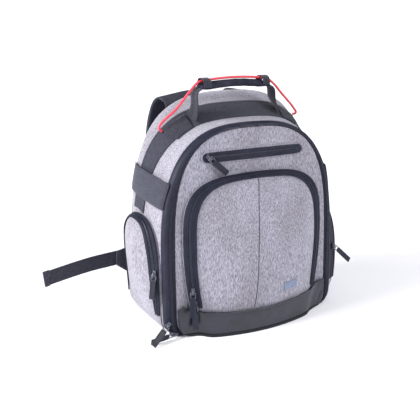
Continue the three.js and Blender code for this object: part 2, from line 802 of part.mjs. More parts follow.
// Strap along a route; acrossAt gives the direction of its width along the way
function strap(route, widthAt, thicknessAt, acrossAt, steps) {
  const curve = new THREE.CatmullRomCurve3(route, false, 'centripetal');
  const rowsTop = [];
  const rowsBottom = [];
  for (let i = 0; i <= steps; i += 1) {
    const t = i / steps;
    const middle = curve.getPointAt(t);
    const tangent = curve.getTangentAt(t);
    const across = acrossAt(t);
    const wide = across.clone().addScaledVector(tangent, -across.dot(tangent)).normalize();
    const out = wide.clone().cross(tangent).normalize();
    const place = (w, h) => middle.clone().addScaledVector(wide, w * widthAt(t)).addScaledVector(out, h);
    const half = thicknessAt(t) / 2;
    rowsTop.push([-0.5, -0.44, 0.44, 0.5].map((w) => place(w, Math.abs(w) === 0.5 ? half * 0.55 : half)));
    rowsBottom.push([-0.5, -0.44, 0.44, 0.5].map((w) => place(w, Math.abs(w) === 0.5 ? -half * 0.55 : -half)));
  }
  return slab(rowsTop, rowsBottom);
}

// Rolled grip of the handle
const gripMiddleZ = (x) => gripZ + gripArch * (1 - ((x - handleMiddle) / gripHalfLength) ** 2);
function makeGrip() {
  const stations = 10;
  const sides = 12;
  const rings = [];
  for (let i = 0; i <= stations; i += 1) {
    const x = handleMiddle + gripHalfLength * (2 * (i / stations) - 1);
    const ring = [];
    const full = i === 0 || i === stations ? gripEndShare : 1;
    for (let j = 0; j < sides; j += 1) {
      const angle = (2 * Math.PI * j) / sides;
      ring.push(vec(
        x, handleY + gripHalfDepth * Math.cos(angle), gripMiddleZ(x) + gripHalfHeight * full * Math.sin(angle),
      ));
    }
    rings.push(ring);
  }
  return loft(rings);
}
addPiece('handle_grip', makeGrip(), 'darkCloth');

// Sewn patches on the centre band, and the webbing legs that rise from them to the grip
const patchLift = bandTop;
function makePatch(side) {
  const high = angleAtX(patchMiddle + side * patchNear);
  const low = angleAtX(patchMiddle + side * patchFar);
  const lowFront = angleAtX(patchMiddle + side * (patchFar - patchSkew));
  const layer = (lift) => {
    const rows = [];
    for (let i = 0; i <= 5; i += 1) {
      rows.push([0, 0.5, 1].map((t) => {
        const angle = lerp(lerp(lowFront, low, t), high, i / 5);
        return overBody(side, angle, handleY + patchWidth * (t - 0.5), lift);
      }));
    }
    return rows;
  };
  return { outer: layer(patchLift + patchThickness), inner: layer(patchLift) };
}
for (const [side, word] of [[-1, 'left'], [1, 'right']]) {
  const patch = makePatch(side);
  addPiece(`handle_patch_${word}`, slab(patch.outer, patch.inner), 'webbing');
  const middle = (row) => row[1];
  const end = middle(patch.outer.at(-1)).clone().lerp(middle(patch.inner.at(-1)), 0.3);
  const before = middle(patch.outer.at(-2)).clone().lerp(middle(patch.inner.at(-2)), 0.3);
  const rise = end.clone().sub(before).normalize();
  const gripEnd = vec(handleMiddle + side * (gripHalfLength + legGap), handleY, gripZ - 1);
  const route = [
    end.clone().addScaledVector(rise, legSeat).add(vec(0, 0, legGap)),
    end.clone().addScaledVector(rise, 7).add(vec(0, 0, 2.5)),
    vec(lerp(end.x, gripEnd.x, 0.62), handleY, lerp(end.z, gripEnd.z, 0.5)),
    vec(gripEnd.x + side * 8, handleY, gripEnd.z - 6),
    vec(gripEnd.x + side * 3, handleY, gripEnd.z - 0.8),
    gripEnd,
  ];
  const patchAcross = patch.outer.at(-1)[2].clone().sub(patch.outer.at(-1)[0]).normalize();
  const acrossAt = (t) => patchAcross.clone().lerp(vec(0, 1, 0), Math.min(1, t * 1.6));
  addPiece(`handle_leg_${word}`, strap(route, () => legWidth, () => legThickness, acrossAt, 9), 'webbing');
}

// Keepers over the grip and the cord, short arches with both feet beside the grip's middle
const cordRadius = cordDiameter / 2;
function makeKeeper(x) {
  const steps = 12;
  const high = gripHalfHeight + 3 * clothGap + cordDiameter + keeperHeadroom;
  const arch = (lift) => {
    const points = [];
    for (let j = 0; j <= steps; j += 1) {
      const angle = (Math.PI * j) / steps;
      const across = Math.sign(Math.cos(angle)) * Math.abs(Math.cos(angle)) ** 0.8;
      points.push(new THREE.Vector2(
        (gripHalfDepth + 3 * clothGap + lift) * across,
        (high + lift) * Math.sin(angle) ** 0.8,
      ));
    }
    return points;
  };
  const shape = new THREE.Shape([...arch(keeperThickness), ...arch(0).reverse()]);
  const geometry = new THREE.ExtrudeGeometry(shape, { depth: keeperWidth, bevelEnabled: false, steps: 1 });
  geometry.rotateX(Math.PI / 2);
  geometry.rotateZ(Math.PI / 2);
  geometry.translate(x - keeperWidth / 2, handleY, gripMiddleZ(x));
  return geometry;
}
addPiece('keeper_left', makeKeeper(handleMiddle - gripHalfLength + keeperInset), 'webbing');
addPiece('keeper_right', makeKeeper(handleMiddle + gripHalfLength - keeperInset), 'webbing');

// Route of the cord, chosen point by point
const cordRoute = [
  vec(-134, 33.5, 323), vec(-138, 33, 327), vec(-138, 31.5, 334), vec(-130, 29, 344), vec(-118, 26, 355),
  vec(-108, 23, 367), vec(-100, 20, 379), vec(-92, 18, 390), vec(-84, 16.5, 400), vec(-77, 16, 405),
  vec(-68, 16, 406.3), vec(-57, 16, 407.5), vec(-44, 16, 408.6), vec(-28, 16, 409.4), vec(-12, 16, 409.7),
  vec(4, 16, 409.4), vec(20, 16, 408.6), vec(33, 16, 407.5), vec(44, 16, 406.3), vec(53, 16, 404.5),
  vec(62, 16.5, 399), vec(72, 17.5, 391), vec(86, 20, 378), vec(100, 23, 366), vec(113, 26, 355),
  vec(124, 29, 344.5), vec(129.5, 31, 338), vec(128, 32.5, 335), vec(124, 33, 335),
];
function tube(points, radius, steps, sides) {
  const section = new THREE.Shape();
  for (let j = 0; j < sides; j += 1) {
    const angle = (2 * Math.PI * j) / sides;
    const method = j === 0 ? 'moveTo' : 'lineTo';
    section[method](radius * Math.cos(angle), radius * Math.sin(angle));
  }
  const path = new THREE.CatmullRomCurve3(points, false, 'centripetal');
  return new THREE.ExtrudeGeometry(section, { steps, bevelEnabled: false, extrudePath: path });
}
addPiece('red_cord', tube(cordRoute, cordRadius, 46, 8), 'cord');

// Padded back
function makeBackPanel() {
  const edge = 5;
  const shape = new THREE.Shape(closedOutline({
    halfWidth: backPanelHalfWidth - edge,
    top: backPanelTop - edge,
    bottom: backPanelBottom + edge,
    corner: 30,
    power: 3.3,
  }).map(([x, z]) => new THREE.Vector2(x, z)));
  const geometry = new THREE.ExtrudeGeometry(shape, {
    depth: backPanelThickness - 2 * edge,
    bevelThickness: edge,
    bevelSize: edge,
    bevelSegments: 2,
    steps: 1,
  });
  geometry.rotateX(Math.PI / 2);
  geometry.translate(0, backDepth + gap + backPanelThickness - edge, 0);
  return geometry;
}
addPiece('back_panel', makeBackPanel(), 'padding');

// Shoulder straps from the top of the back over their crest and down behind, with the lower webbing
const backFace = backDepth + gap;
const shoulderProfile = [
  { out: 0.5, height: 342, spread: 0 },
  { out: 0.5, height: 353, spread: 0 },
  { out: 1.2, height: 364, spread: 0 },
  { out: 2.6, height: 367, spread: 1 },
  { out: 4.2, height: 365, spread: 2 },
  { out: 5.2, height: 354, spread: 4 },
  { out: 5.8, height: 330, spread: 8 },
  { out: 5.9, height: 280, spread: 15 },
  { out: 5.2, height: 220, spread: 24 },
  { out: 4.0, height: 165, spread: 32 },
  { out: 3.0, height: 130, spread: 38 },
];
for (const [side, word] of [[-1, 'left'], [1, 'right']]) {
  const route = shoulderProfile.map(({ out, height, spread }) => vec(
    strapShift + side * (shoulderTopX + spread),
    backFace + shoulderThickness * out,
    height,
  ));
  const foot = vec(side * webbingFootX, backFace + wingThickness + gap + webbingThickness * 0.7, webbingFootZ);
  const down = foot.clone().sub(route.at(-1)).normalize();
  const end = route.at(-1).clone().addScaledVector(down, 14);
  route.push(end);
  const widthAt = (t) => lerp(shoulderWidth, shoulderWidth * 0.72, Math.max(0, (t - 0.4) / 0.6));
  const thicknessAt = (t) => shoulderThickness * (t > 0.97 ? 0.6 : lerp(shoulderRootShare, 1, Math.min(1, t / 0.35)));
  const tiltAt = (t) => vec(1, 0, -side * shoulderTilt * Math.max(0, 1 - t / 0.4));
  addPiece(`shoulder_strap_${word}`, strap(route, widthAt, thicknessAt, tiltAt, 16), 'padding');

  const wide = down.clone().cross(vec(0, 1, 0)).normalize();
  const acrossWeb = () => wide;
  const lockStart = end.clone().addScaledVector(down, 3 * gap);
  const lockEnd = lockStart.clone().addScaledVector(down, lockHeight);
  const lock = strap([lockStart, lockEnd], () => webbingWidth + 9, () => lockThickness, acrossWeb, 1);
  const slotTool = (from, to) => {
    const a = lockStart.clone().lerp(lockEnd, from);
    const b = lockStart.clone().lerp(lockEnd, to);
    return strap([a, b], () => webbingWidth + 1, () => lockThickness * 3, acrossWeb, 1);
  };
  addPiece(`ladder_lock_${word}`, cut(cut(lock, slotTool(0.2, 0.36)), slotTool(0.6, 0.78)), 'plastic');
  const webStart = lockEnd.clone().addScaledVector(down, gap);
  addPiece(
    `lower_webbing_${word}`,
    strap([webStart, foot], () => webbingWidth, () => webbingThickness, acrossWeb, 2),
    'webbing',
  );
}

// Triangular tabs at the lower back corners and the waist straps
const wingRoot = { low: 28, high: 114 };
const wingTip = { low: 74, high: 102 };
for (const [side, word] of [[-1, 'left'], [1, 'right']]) {
  const shape = new THREE.Shape([
    new THREE.Vector2(wingRootX, wingRoot.low),
    new THREE.Vector2(wingTipX, wingTip.low),
    new THREE.Vector2(wingTipX, wingTip.high),
    new THREE.Vector2(wingRootX, wingRoot.high),
  ]);
  const geometry = new THREE.ExtrudeGeometry(shape, { depth: wingThickness, bevelEnabled: false, steps: 1 });
  geometry.rotateX(Math.PI / 2);
  geometry.translate(0, backFace + wingThickness, 0);
  const wing = side > 0 ? bareMerged(geometry) : flipped(geometry.clone().scale(-1, 1, 1));
  addPiece(`wing_${word}`, wing, 'bandCloth');
}
const waistY = backFace + wingThickness + 2 * gap + webbingThickness / 2;
const waistZ = (wingTip.low + wingTip.high) / 2;
const waistStart = wingTipX - waistOverlap;
const waistLeft = [
  vec(-waistStart, waistY, waistZ),
  vec(-wingTipX, waistY, waistZ - 1),
  vec(-wingTipX - waistLength * 0.35, waistY + 3, waistZ - 6),
  vec(-wingTipX - waistLength * 0.7, waistY + 1, waistZ - 12),
  vec(-wingTipX - waistLength, waistY - 3, waistZ - 17),
];
const waistRight = [
  vec(waistStart, waistY, waistZ),
  vec((waistStart + wingTipX) / 2, waistY, waistZ - 0.5),
  vec(wingTipX, waistY, waistZ - 1),
  vec(wingTipX + 14, waistY + 9, waistZ - 3),
  vec(wingTipX + 8, waistY + 27, waistZ - 6),
  vec(wingTipX - 12, waistY + 44, waistZ - 9),
  vec(wingTipX - 38, waistY + 54, waistZ - 13),
  vec(wingTipX - 66, waistY + 58, waistZ - 17),
];
const upright = () => vec(0, 0, 1);
addPiece('waist_strap_left', strap(waistLeft, () => waistWidth, () => webbingThickness, upright, 10), 'webbing');
addPiece('waist_strap_right', strap(waistRight, () => waistWidth, () => webbingThickness, upright, 14), 'webbing');

// Zip slider: a base with a bridge, in its own frame with X along the zip and Z off the surface
const barHeight = sliderBase + pullPlay + pullThickness * 0.75;
function makeSlider() {
  const base = new THREE.BoxGeometry(sliderLength, sliderWidth, sliderBase);
  base.translate(0, 0, sliderBase / 2);
  const inside = barHeight + pullThickness * 0.75 + pullPlay;
  const half = bridgeSpan / 2;
  const arch = new THREE.Shape([
    new THREE.Vector2(-half, sliderBase / 2),
    new THREE.Vector2(-half + bridgeBeam, sliderBase / 2),
    new THREE.Vector2(-half + bridgeBeam, inside),
    new THREE.Vector2(half - bridgeBeam, inside),
    new THREE.Vector2(half - bridgeBeam, sliderBase / 2),
    new THREE.Vector2(half, sliderBase / 2),
    new THREE.Vector2(half - bridgeBeam, inside + bridgeBeam),
    new THREE.Vector2(-half + bridgeBeam, inside + bridgeBeam),
  ].reverse());
  const bridge = new THREE.ExtrudeGeometry(arch, { depth: bridgeWidth, bevelEnabled: false, steps: 1 });
  bridge.rotateX(Math.PI / 2);
  bridge.translate(0, bridgeWidth / 2, 0);
  return join(base, bridge);
}

// Pull: a flat tab with a window whose end bar sits under the bridge; the bar lies on the origin
function makePull() {
  const bar = pullThickness;
  const half = pullWidth / 2;
  const windowHalf = bridgeWidth / 2 + pullPlay;
  const shape = new THREE.Shape([
    new THREE.Vector2(-bar / 2, -half + 1),
    new THREE.Vector2(pullWindow + 3, -half + 0.6),
    new THREE.Vector2(pullWindow + 5, -half),
    new THREE.Vector2(pullLength - 1, -half),
    new THREE.Vector2(pullLength, -half + 1),
    new THREE.Vector2(pullLength, half - 1),
    new THREE.Vector2(pullLength - 1, half),
    new THREE.Vector2(pullWindow + 5, half),
    new THREE.Vector2(pullWindow + 3, half - 0.6),
    new THREE.Vector2(-bar / 2, half - 1),
  ]);
  shape.holes.push(new THREE.Path([
    new THREE.Vector2(bar / 2, -windowHalf),
    new THREE.Vector2(pullWindow, -windowHalf),
    new THREE.Vector2(pullWindow, windowHalf),
    new THREE.Vector2(bar / 2, windowHalf),
  ]));
  const geometry = new THREE.ExtrudeGeometry(shape, { depth: pullThickness, bevelEnabled: false, steps: 1 });
  geometry.translate(0, 0, -pullThickness / 2);
  return geometry;
}

// Where a slider sits on the main zip near the foot, by height, and which way the band faces
function mainZipSeat(side, z, mix, depth, out) {
  const xAt = ({ halfWidth, corner }) => (
    z < corner ? halfWidth - corner + Math.sqrt(corner ** 2 - (corner - z) ** 2) : halfWidth
  );
  const x = lerp(xAt(panelEdge), xAt(bodyShape(0)), mix);
  const normal = vec(side * out[0], out[1], out[2]).normalize();
  return { at: vec(side * x, frontY(z) + depth, z).addScaledVector(normal, 2 * gap), out: normal };
}

// Each slider with its pull: its seat on the zip, and the way the pull points from it
const topZipFace = vec(0, -1, frontLean).normalize();
const zipPulls = [
  { name: 'main_upper', seat: mainZipSeat(-1, 25, 0.78, -1.2, [0.62, -0.78, -0.05]), points: [-30, -15, -19] },
  { name: 'main_lower', seat: mainZipSeat(-1, 9, 0.62, -2.4, [0.45, -0.87, -0.2]), points: [-41, -3, -2] },
  { name: 'pocket_upper', seat: tapeSeat(frontPocket, -1, 80, 0.5), points: [-0.15, -0.36, -1] },
  { name: 'pocket_lower', seat: tapeSeat(frontPocket, -1, 57, 0.5), points: [-0.05, -0.21, -1] },
  {
    name: 'top_pocket',
    seat: {
      at: vec(
        -topZipHalfLength + sliderLength * 0.8, frontY(topZipHeight) - panelFront - tapeThickness - gap, topZipHeight,
      ),
      out: topZipFace,
    },
    points: [0.74, -0.14, -0.66],
  },
  { name: 'side_left', seat: tapeSeat(sidePockets.left, -1, 107, 0.36), points: [-0.1, -0.1, -1] },
  { name: 'side_right', seat: tapeSeat(sidePockets.right, -1, 98, 0.44), points: [0.66, -0.35, -0.66] },
];
for (const { name, seat: { at, out }, points } of zipPulls) {
  const up = out.clone().normalize();
  const direction = vec(...points).normalize();
  const along = direction.clone().addScaledVector(up, -direction.dot(up)).normalize();
  const seat = new THREE.Group();
  seat.position.copy(at);
  seat.quaternion.setFromRotationMatrix(new THREE.Matrix4().makeBasis(along, up.clone().cross(along), up));
  backpack.add(seat);
  addPiece(`slider_${name}`, makeSlider(), 'gunmetal', seat);
  const swing = new THREE.Group();
  swing.position.set(0, 0, barHeight);
  swing.rotation.y = -Math.asin(direction.dot(up));
  seat.add(swing);
  addPiece(`pull_${name}`, makePull(), 'pullRubber', swing);
}

backpack.updateMatrixWorld(true);
export default backpack;
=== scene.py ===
import json
import math

import bmesh
import bpy
from mathutils import Matrix, Vector, noise
from mathutils.bvhtree import BVHTree


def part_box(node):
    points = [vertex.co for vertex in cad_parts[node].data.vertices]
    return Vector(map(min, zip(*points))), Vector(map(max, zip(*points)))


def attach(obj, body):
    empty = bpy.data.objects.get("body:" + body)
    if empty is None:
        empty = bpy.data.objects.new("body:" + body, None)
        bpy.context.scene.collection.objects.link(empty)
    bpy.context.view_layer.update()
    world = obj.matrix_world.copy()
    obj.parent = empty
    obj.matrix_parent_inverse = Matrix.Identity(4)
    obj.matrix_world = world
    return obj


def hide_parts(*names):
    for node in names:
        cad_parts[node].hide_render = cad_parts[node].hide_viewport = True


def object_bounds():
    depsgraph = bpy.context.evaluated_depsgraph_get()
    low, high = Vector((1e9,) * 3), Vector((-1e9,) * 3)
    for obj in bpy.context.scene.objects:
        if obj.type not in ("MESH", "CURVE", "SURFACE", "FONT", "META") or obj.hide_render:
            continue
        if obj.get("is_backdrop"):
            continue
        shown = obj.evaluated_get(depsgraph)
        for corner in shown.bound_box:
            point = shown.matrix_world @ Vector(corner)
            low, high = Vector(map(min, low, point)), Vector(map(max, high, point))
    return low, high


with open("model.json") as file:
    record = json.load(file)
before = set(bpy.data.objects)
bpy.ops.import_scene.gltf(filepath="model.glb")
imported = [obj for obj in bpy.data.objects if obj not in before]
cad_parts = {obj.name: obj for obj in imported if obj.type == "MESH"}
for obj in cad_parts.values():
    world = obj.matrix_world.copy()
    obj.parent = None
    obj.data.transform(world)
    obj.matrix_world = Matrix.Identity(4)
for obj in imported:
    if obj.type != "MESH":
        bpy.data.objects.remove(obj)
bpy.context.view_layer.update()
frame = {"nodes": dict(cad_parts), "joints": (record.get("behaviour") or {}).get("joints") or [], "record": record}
scene = bpy.context.scene
mm = 0.001
bagBody = "bag"

# camera and light
photoView = {
    "azimuth": 29.2, "elevation": 20.5, "roll": 2.7, "lens": 60.0, "place": (-0.60505, -0.98387, 0.60744),
}


def makeCamera(view):
    a, e, r = (math.radians(view[key]) for key in ("azimuth", "elevation", "roll"))
    ahead = Vector((math.sin(a) * math.cos(e), math.cos(a) * math.cos(e), -math.sin(e)))
    right = Vector((math.cos(a), -math.sin(a), 0))
    up = right.cross(ahead)
    right, up = right * math.cos(r) + up * math.sin(r), up * math.cos(r) - right * math.sin(r)
    lens = bpy.data.cameras.new("photoCamera")
    lens.lens = view["lens"]
    lens.sensor_width = 36
    lens.clip_end = 60
    camera = bpy.data.objects.new("photoCamera", lens)
    scene.collection.objects.link(camera)
    turn = Matrix((right, up, -ahead)).transposed().to_4x4()
    camera.matrix_world = Matrix.Translation(Vector(view["place"])) @ turn
    scene.camera = camera


makeCamera(photoView)


# small helpers
def hexColour(text):
    parts = [int(text[i:i + 2], 16) / 255 for i in (1, 3, 5)]
    return [p / 12.92 if p <= 0.04045 else ((p + 0.055) / 1.055) ** 2.4 for p in parts] + [1.0]


def addNode(tree, kind, settings=None, links=None):
    # settings fill its sockets, its own properties or a ramp's stops; links join other sockets to its own
    node = tree.nodes.new(kind)
    for key, value in (settings or {}).items():
        if key == "stops":
            stops = node.color_ramp.elements
            while len(stops) < len(value):
                stops.new(0.5)
            for stop, (place, colour) in zip(stops, value):
                stop.position = place
                stop.color = hexColour(colour)
        elif isinstance(key, int) or key in node.inputs:
            node.inputs[key].default_value = value
        else:
            setattr(node, key, value)
    for key, socket in (links or {}).items():
        tree.links.new(socket, node.inputs[key])
    return node


def startMaterial(name, settings):
    material = bpy.data.materials.new(name)
    material.use_nodes = True
    tree = material.node_tree
    tree.nodes.clear()
    shader = addNode(tree, "ShaderNodeBsdfPrincipled", settings)
    addNode(tree, "ShaderNodeOutputMaterial", {}, {"Surface": shader.outputs[0]})
    place = addNode(tree, "ShaderNodeTexCoord")
    return material, tree, shader, place


def colourAndRelief(tree, shader, pattern, stops, relief, strength, distance):
    # one pattern gives the colour between the stops, another one the relief
    tone = addNode(tree, "ShaderNodeValToRGB", {"stops": stops}, {"Fac": pattern})
    bump = addNode(tree, "ShaderNodeBump", {"Strength": strength, "Distance": distance}, {"Height": relief})
    tree.links.new(tone.outputs["Color"], shader.inputs["Base Color"])
    tree.links.new(bump.outputs[0], shader.inputs["Normal"])


def cloudyPattern(tree, coordinates, size, detail=2.0, rough=0.5):
    # noise whose blots have this size in millimetres along each axis
    scale = [1 / (side * mm) for side in size]
    spread = addNode(tree, "ShaderNodeMapping", {"Scale": scale}, {"Vector": coordinates})
    cloud = addNode(tree, "ShaderNodeTexNoise", {"Scale": 1.0, "Detail": detail, "Roughness": rough},
                    {"Vector": spread.outputs[0]})
    return cloud.outputs["Fac"]


def weavePattern(tree, coordinates, thread):
    # over and under threads: two crossed waves, thread is their spacing in millimetres
    rate = math.pi / (thread * mm)
    parts = addNode(tree, "ShaderNodeSeparateXYZ", {}, {"Vector": coordinates})
    flat = addNode(tree, "ShaderNodeMath", {"operation": "ADD"}, {0: parts.outputs[0], 1: parts.outputs[1]})
    waves = []
    for socket in (flat.outputs[0], parts.outputs[2]):
        scaled = addNode(tree, "ShaderNodeMath", {"operation": "MULTIPLY", 1: rate}, {0: socket})
        wave = addNode(tree, "ShaderNodeMath", {"operation": "SINE"}, {0: scaled.outputs[0]})
        waves.append(wave.outputs[0])
    crossed = addNode(tree, "ShaderNodeMath", {"operation": "MULTIPLY"}, {0: waves[0], 1: waves[1]})
    return crossed.outputs[0]


# materials
# Melange polyester: pale and dark yarns spun together, woven plain, so short upright flecks on a lilac grey.
# Yarn is about 0.4 mm; the flecks are drawn 1.3 mm wide and 6.7 mm tall so that they show
heatherColours = {"dark": "#3d3c4c", "middle": "#85838f", "pale": "#bcbbc9"}


def heatherPolyester():
    settings = {"Roughness": 0.92, "Specular IOR Level": 0.25, "Sheen Weight": 0.25, "Sheen Roughness": 0.5}
    material, tree, shader, place = startMaterial("melangePolyester", settings)
    spot = place.outputs["Object"]
    flecks = cloudyPattern(tree, spot, (1.3158, 1.3158, 6.6667), 3.0, 0.66)
    fine = cloudyPattern(tree, spot, (0.58824, 0.58824, 0.83333), 1.0, 0.5)
    cloud = cloudyPattern(tree, spot, (62.5, 62.5, 111.1))
    yarns = [(0.33, heatherColours["dark"]), (0.47, heatherColours["middle"]), (0.66, heatherColours["pale"])]
    tones = []
    for pattern, stops in (
        (flecks, yarns),
        (fine, [(0.36, "#62606d"), (0.6, "#bfbdc9")]),
        (cloud, [(0.35, "#e9e6e4"), (0.65, "#ffffff")]),
    ):
        tones.append(addNode(tree, "ShaderNodeValToRGB", {"stops": stops}, {"Fac": pattern}).outputs["Color"])
    yarn = addNode(tree, "ShaderNodeMix", {"data_type": "RGBA", 0: 0.33}, {6: tones[0], 7: tones[1]})
    colour = addNode(tree, "ShaderNodeMix", {"data_type": "RGBA", "blend_type": "MULTIPLY", 0: 1.0},
                     {6: yarn.outputs[2], 7: tones[2]})
    bump = addNode(tree, "ShaderNodeBump", {"Strength": 0.35, "Distance": 0.0004}, {"Height": fine})
    tree.links.new(colour.outputs[2], shader.inputs["Base Color"])
    tree.links.new(bump.outputs[0], shader.inputs["Normal"])
    return material


# Coated zip tape and trim cloth: dark navy slate, tight weave with a faint shine
def coatedTape(name, colour, paler, roughness, level=0.22):
    material, tree, shader, place = startMaterial(name, {"Roughness": roughness, "Specular IOR Level": level})
    spot = place.outputs["Object"]
    cloud = cloudyPattern(tree, spot, (16.667, 16.667, 25), 3.0, 0.55)
    grain = cloudyPattern(tree, spot, (0.66667, 0.66667, 0.66667))
    colourAndRelief(tree, shader, cloud, [(0.3, colour), (0.72, paler)], grain, 0.25, 0.0003)
    return material


# Woven nylon webbing: matte, crossed ribs about 1 mm apart
def wovenWebbing(name, colour, paler, thread):
    settings = {"Roughness": 0.78, "Specular IOR Level": 0.3, "Sheen Weight": 0.15}
    material, tree, shader, place = startMaterial(name, settings)
    spot = place.outputs["Object"]
    threads = weavePattern(tree, spot, thread)
    cloud = cloudyPattern(tree, spot, (4.5455, 4.5455, 4.5455), 3.0, 0.6)
    colourAndRelief(tree, shader, cloud, [(0.3, colour), (0.72, paler)], threads, 0.5, 0.0003)
    return material


# Ribbed elastic: knitted rubber and polyester, its fine ribs drawn 1.7 mm apart so that they show
def ribbedElastic():
    settings = {"Roughness": 0.7, "Specular IOR Level": 0.3, "Sheen Weight": 0.2}
    material, tree, shader, place = startMaterial("ribbedElastic", settings)
    spot = place.outputs["Object"]
    ribSpacing = 1.6535 * mm
    wave = {"wave_type": "BANDS", "bands_direction": "Z", "Scale": math.pi / 10 / ribSpacing,
            "Distortion": 0.4, "Detail": 1.0}
    ribs = addNode(tree, "ShaderNodeTexWave", wave, {"Vector": spot}).outputs["Fac"]
    cloud = cloudyPattern(tree, spot, (11.111, 11.111, 1.4286))
    colourAndRelief(tree, shader, cloud, [(0.3, "#232533"), (0.7, "#363848")], ribs, 0.5, 0.0004)
    return material


# Imitation leather: polyurethane on cloth, soft shine, pebble grain drawn 1.6 mm wide so that it shows
def imitationLeather():
    settings = {"Roughness": 0.3, "Specular IOR Level": 0.5, "Coat Weight": 0.2, "Coat Roughness": 0.3}
    material, tree, shader, place = startMaterial("imitationLeather", settings)
    spot = place.outputs["Object"]
    pebbleWidth = 1.6129 * mm
    pebbles = addNode(tree, "ShaderNodeTexVoronoi", {"feature": "DISTANCE_TO_EDGE", "Scale": 1 / pebbleWidth},
                      {"Vector": spot}).outputs["Distance"]
    cloud = cloudyPattern(tree, spot, (28.571, 28.571, 16.667), 3.0, 0.6)
    colourAndRelief(tree, shader, cloud, [(0.3, "#0f111d"), (0.7, "#1e2131")], pebbles, 0.3, 0.0003)
    return material


# Padded back cloth: open spacer knit over foam, small pits 3 mm apart
def spacerMesh():
    settings = {"Roughness": 0.9, "Specular IOR Level": 0.2, "Sheen Weight": 0.2}
    material, tree, shader, place = startMaterial("spacerMesh", settings)
    pitSpacing = 3.0303 * mm
    knit = {"feature": "F1", "Scale": 1 / pitSpacing, "Randomness": 0.15}
    pits = addNode(tree, "ShaderNodeTexVoronoi", knit, {"Vector": place.outputs["Object"]}).outputs["Distance"]
    # painted shade: the pits are painted near black and the ridges between them paler
    stops = [(0.12, "#15161b"), (0.42, "#3b3d47"), (0.8, "#4a4c57")]
    colourAndRelief(tree, shader, pits, stops, pits, 0.6, 0.0008)
    return material


# Hard goods: moulded acetal, moulded soft rubber, and die-cast zinc with a dark plating
def mouldedPlastic(name, colour, paler, roughness, level=0.45):
    material, tree, shader, place = startMaterial(name, {"Roughness": roughness, "Specular IOR Level": level})
    spot = place.outputs["Object"]
    cloud = cloudyPattern(tree, spot, (2.5, 2.5, 2.5), 3.0, 0.6)
    grain = cloudyPattern(tree, spot, (0.4, 0.4, 0.4))
    colourAndRelief(tree, shader, cloud, [(0.3, colour), (0.75, paler)], grain, 0.15, 0.0002)
    return material


def platedZinc():
    material, tree, shader, place = startMaterial("platedZinc", {"Metallic": 1.0, "Roughness": 0.3})
    wear = cloudyPattern(tree, place.outputs["Object"], (2, 2, 2), 4.0, 0.65)
    stops = [(0.3, "#4b4d56"), (0.62, "#7f828d"), (0.85, "#b4b7c0")]
    colourAndRelief(tree, shader, wear, stops, wear, 0.12, 0.0002)
    return material


# Braided polyester cord: bright red, glossy, strands crossing at 45 degrees on its own map
def braidedCord():
    settings = {"Roughness": 0.4, "Specular IOR Level": 0.5, "Sheen Weight": 0.2}
    material, tree, shader, place = startMaterial("braidedPolyester", settings)
    spot = place.outputs["UV"]
    strands = []
    for turn in (0.6, -0.6):
        turned = addNode(tree, "ShaderNodeMapping", {"Rotation": (0, 0, turn)}, {"Vector": spot})
        wave = addNode(tree, "ShaderNodeTexWave", {"Scale": 5.0}, {"Vector": turned.outputs[0]})
        strands.append(wave.outputs["Fac"])
    crossed = addNode(tree, "ShaderNodeMath", {"operation": "MAXIMUM"}, {0: strands[0], 1: strands[1]})
    strand = crossed.outputs[0]
    # painted highlight and painted shade: the strands' crests are painted paler and the grooves between them
    # darker
    colourAndRelief(tree, shader, strand, [(0.35, "#c4162c"), (0.95, "#f23c50")], strand, 0.35, 0.0003)
    return material


# Spun polyester sewing thread: slightly shiny, too thin to need a relief
def sewingThread(name, colour, paler):
    material, tree, shader, place = startMaterial(name, {"Roughness": 0.6, "Specular IOR Level": 0.4})
    cloud = cloudyPattern(tree, place.outputs["Object"], (1.1111, 1.1111, 1.1111), 2.0, 0.6)
    tone = addNode(tree, "ShaderNodeValToRGB", {"stops": [(0.3, colour), (0.75, paler)]}, {"Fac": cloud})
    tree.links.new(tone.outputs["Color"], shader.inputs["Base Color"])
    return material


finishes = {
    "heather": heatherPolyester(),
    "tape": coatedTape("coatedZipTape", "#161827", "#26293a", 0.55),
    "gripCloth": coatedTape("paddedGripCloth", "#1c1d2a", "#303242", 0.8),
    "band": wovenWebbing("bandCloth", "#232431", "#343544", 1.1),
    "elastic": ribbedElastic(),
    "leather": imitationLeather(),
    "binding": wovenWebbing("bindingTape", "#12131a", "#1f2029", 0.9),
    "webbing": wovenWebbing("nylonWebbing", "#1d1e29", "#2e303d", 1.2),
    "padding": spacerMesh(),
    "strapCloth": coatedTape("paddedStrapCloth", "#25262f", "#363842", 0.78),
    "acetal": mouldedPlastic("mouldedAcetal", "#17181c", "#25272d", 0.42),
    "zinc": platedZinc(),
    "rubber": mouldedPlastic("softRubber", "#151724", "#272938", 0.42, 0.3),
    "coil": mouldedPlastic("nylonCoil", "#1c1e2b", "#323546", 0.38, 0.4),
    "cord": braidedCord(),
    "darkThread": sewingThread("darkThread", "#1e1f27", "#343643"),
    "greyThread": sewingThread("greyThread", "#6f6c7a", "#8f8c9a"),
    "patch": wovenWebbing("plainPatch", "#6f7b95", "#8893ab", 0.8),
}
print("materials made:", len(finishes))


# lines and meshes
def smoothLine(points, steps):
    # centripetal spline through the points
    points = [Vector(p) for p in points]
    ends = [points[0] * 2 - points[1]] + points + [points[-1] * 2 - points[-2]]
    line = [points[0].copy()]
    for i in range(1, len(ends) - 2):
        a, b, c, d = ends[i - 1:i + 3]
        times = [0.0]
        for p, q in ((a, b), (b, c), (c, d)):
            times.append(times[-1] + math.sqrt((q - p).length))
        for k in range(1, steps + 1):
            t = times[1] + (times[2] - times[1]) * k / steps

            def blend(p, q, i, j):
                span = times[j] - times[i]
                return p * ((times[j] - t) / span) + q * ((t - times[i]) / span)

            ab, bc, cd = blend(a, b, 0, 1), blend(b, c, 1, 2), blend(c, d, 2, 3)
            line.append(blend(blend(ab, bc, 0, 2), blend(bc, cd, 1, 3), 1, 2))
    return line


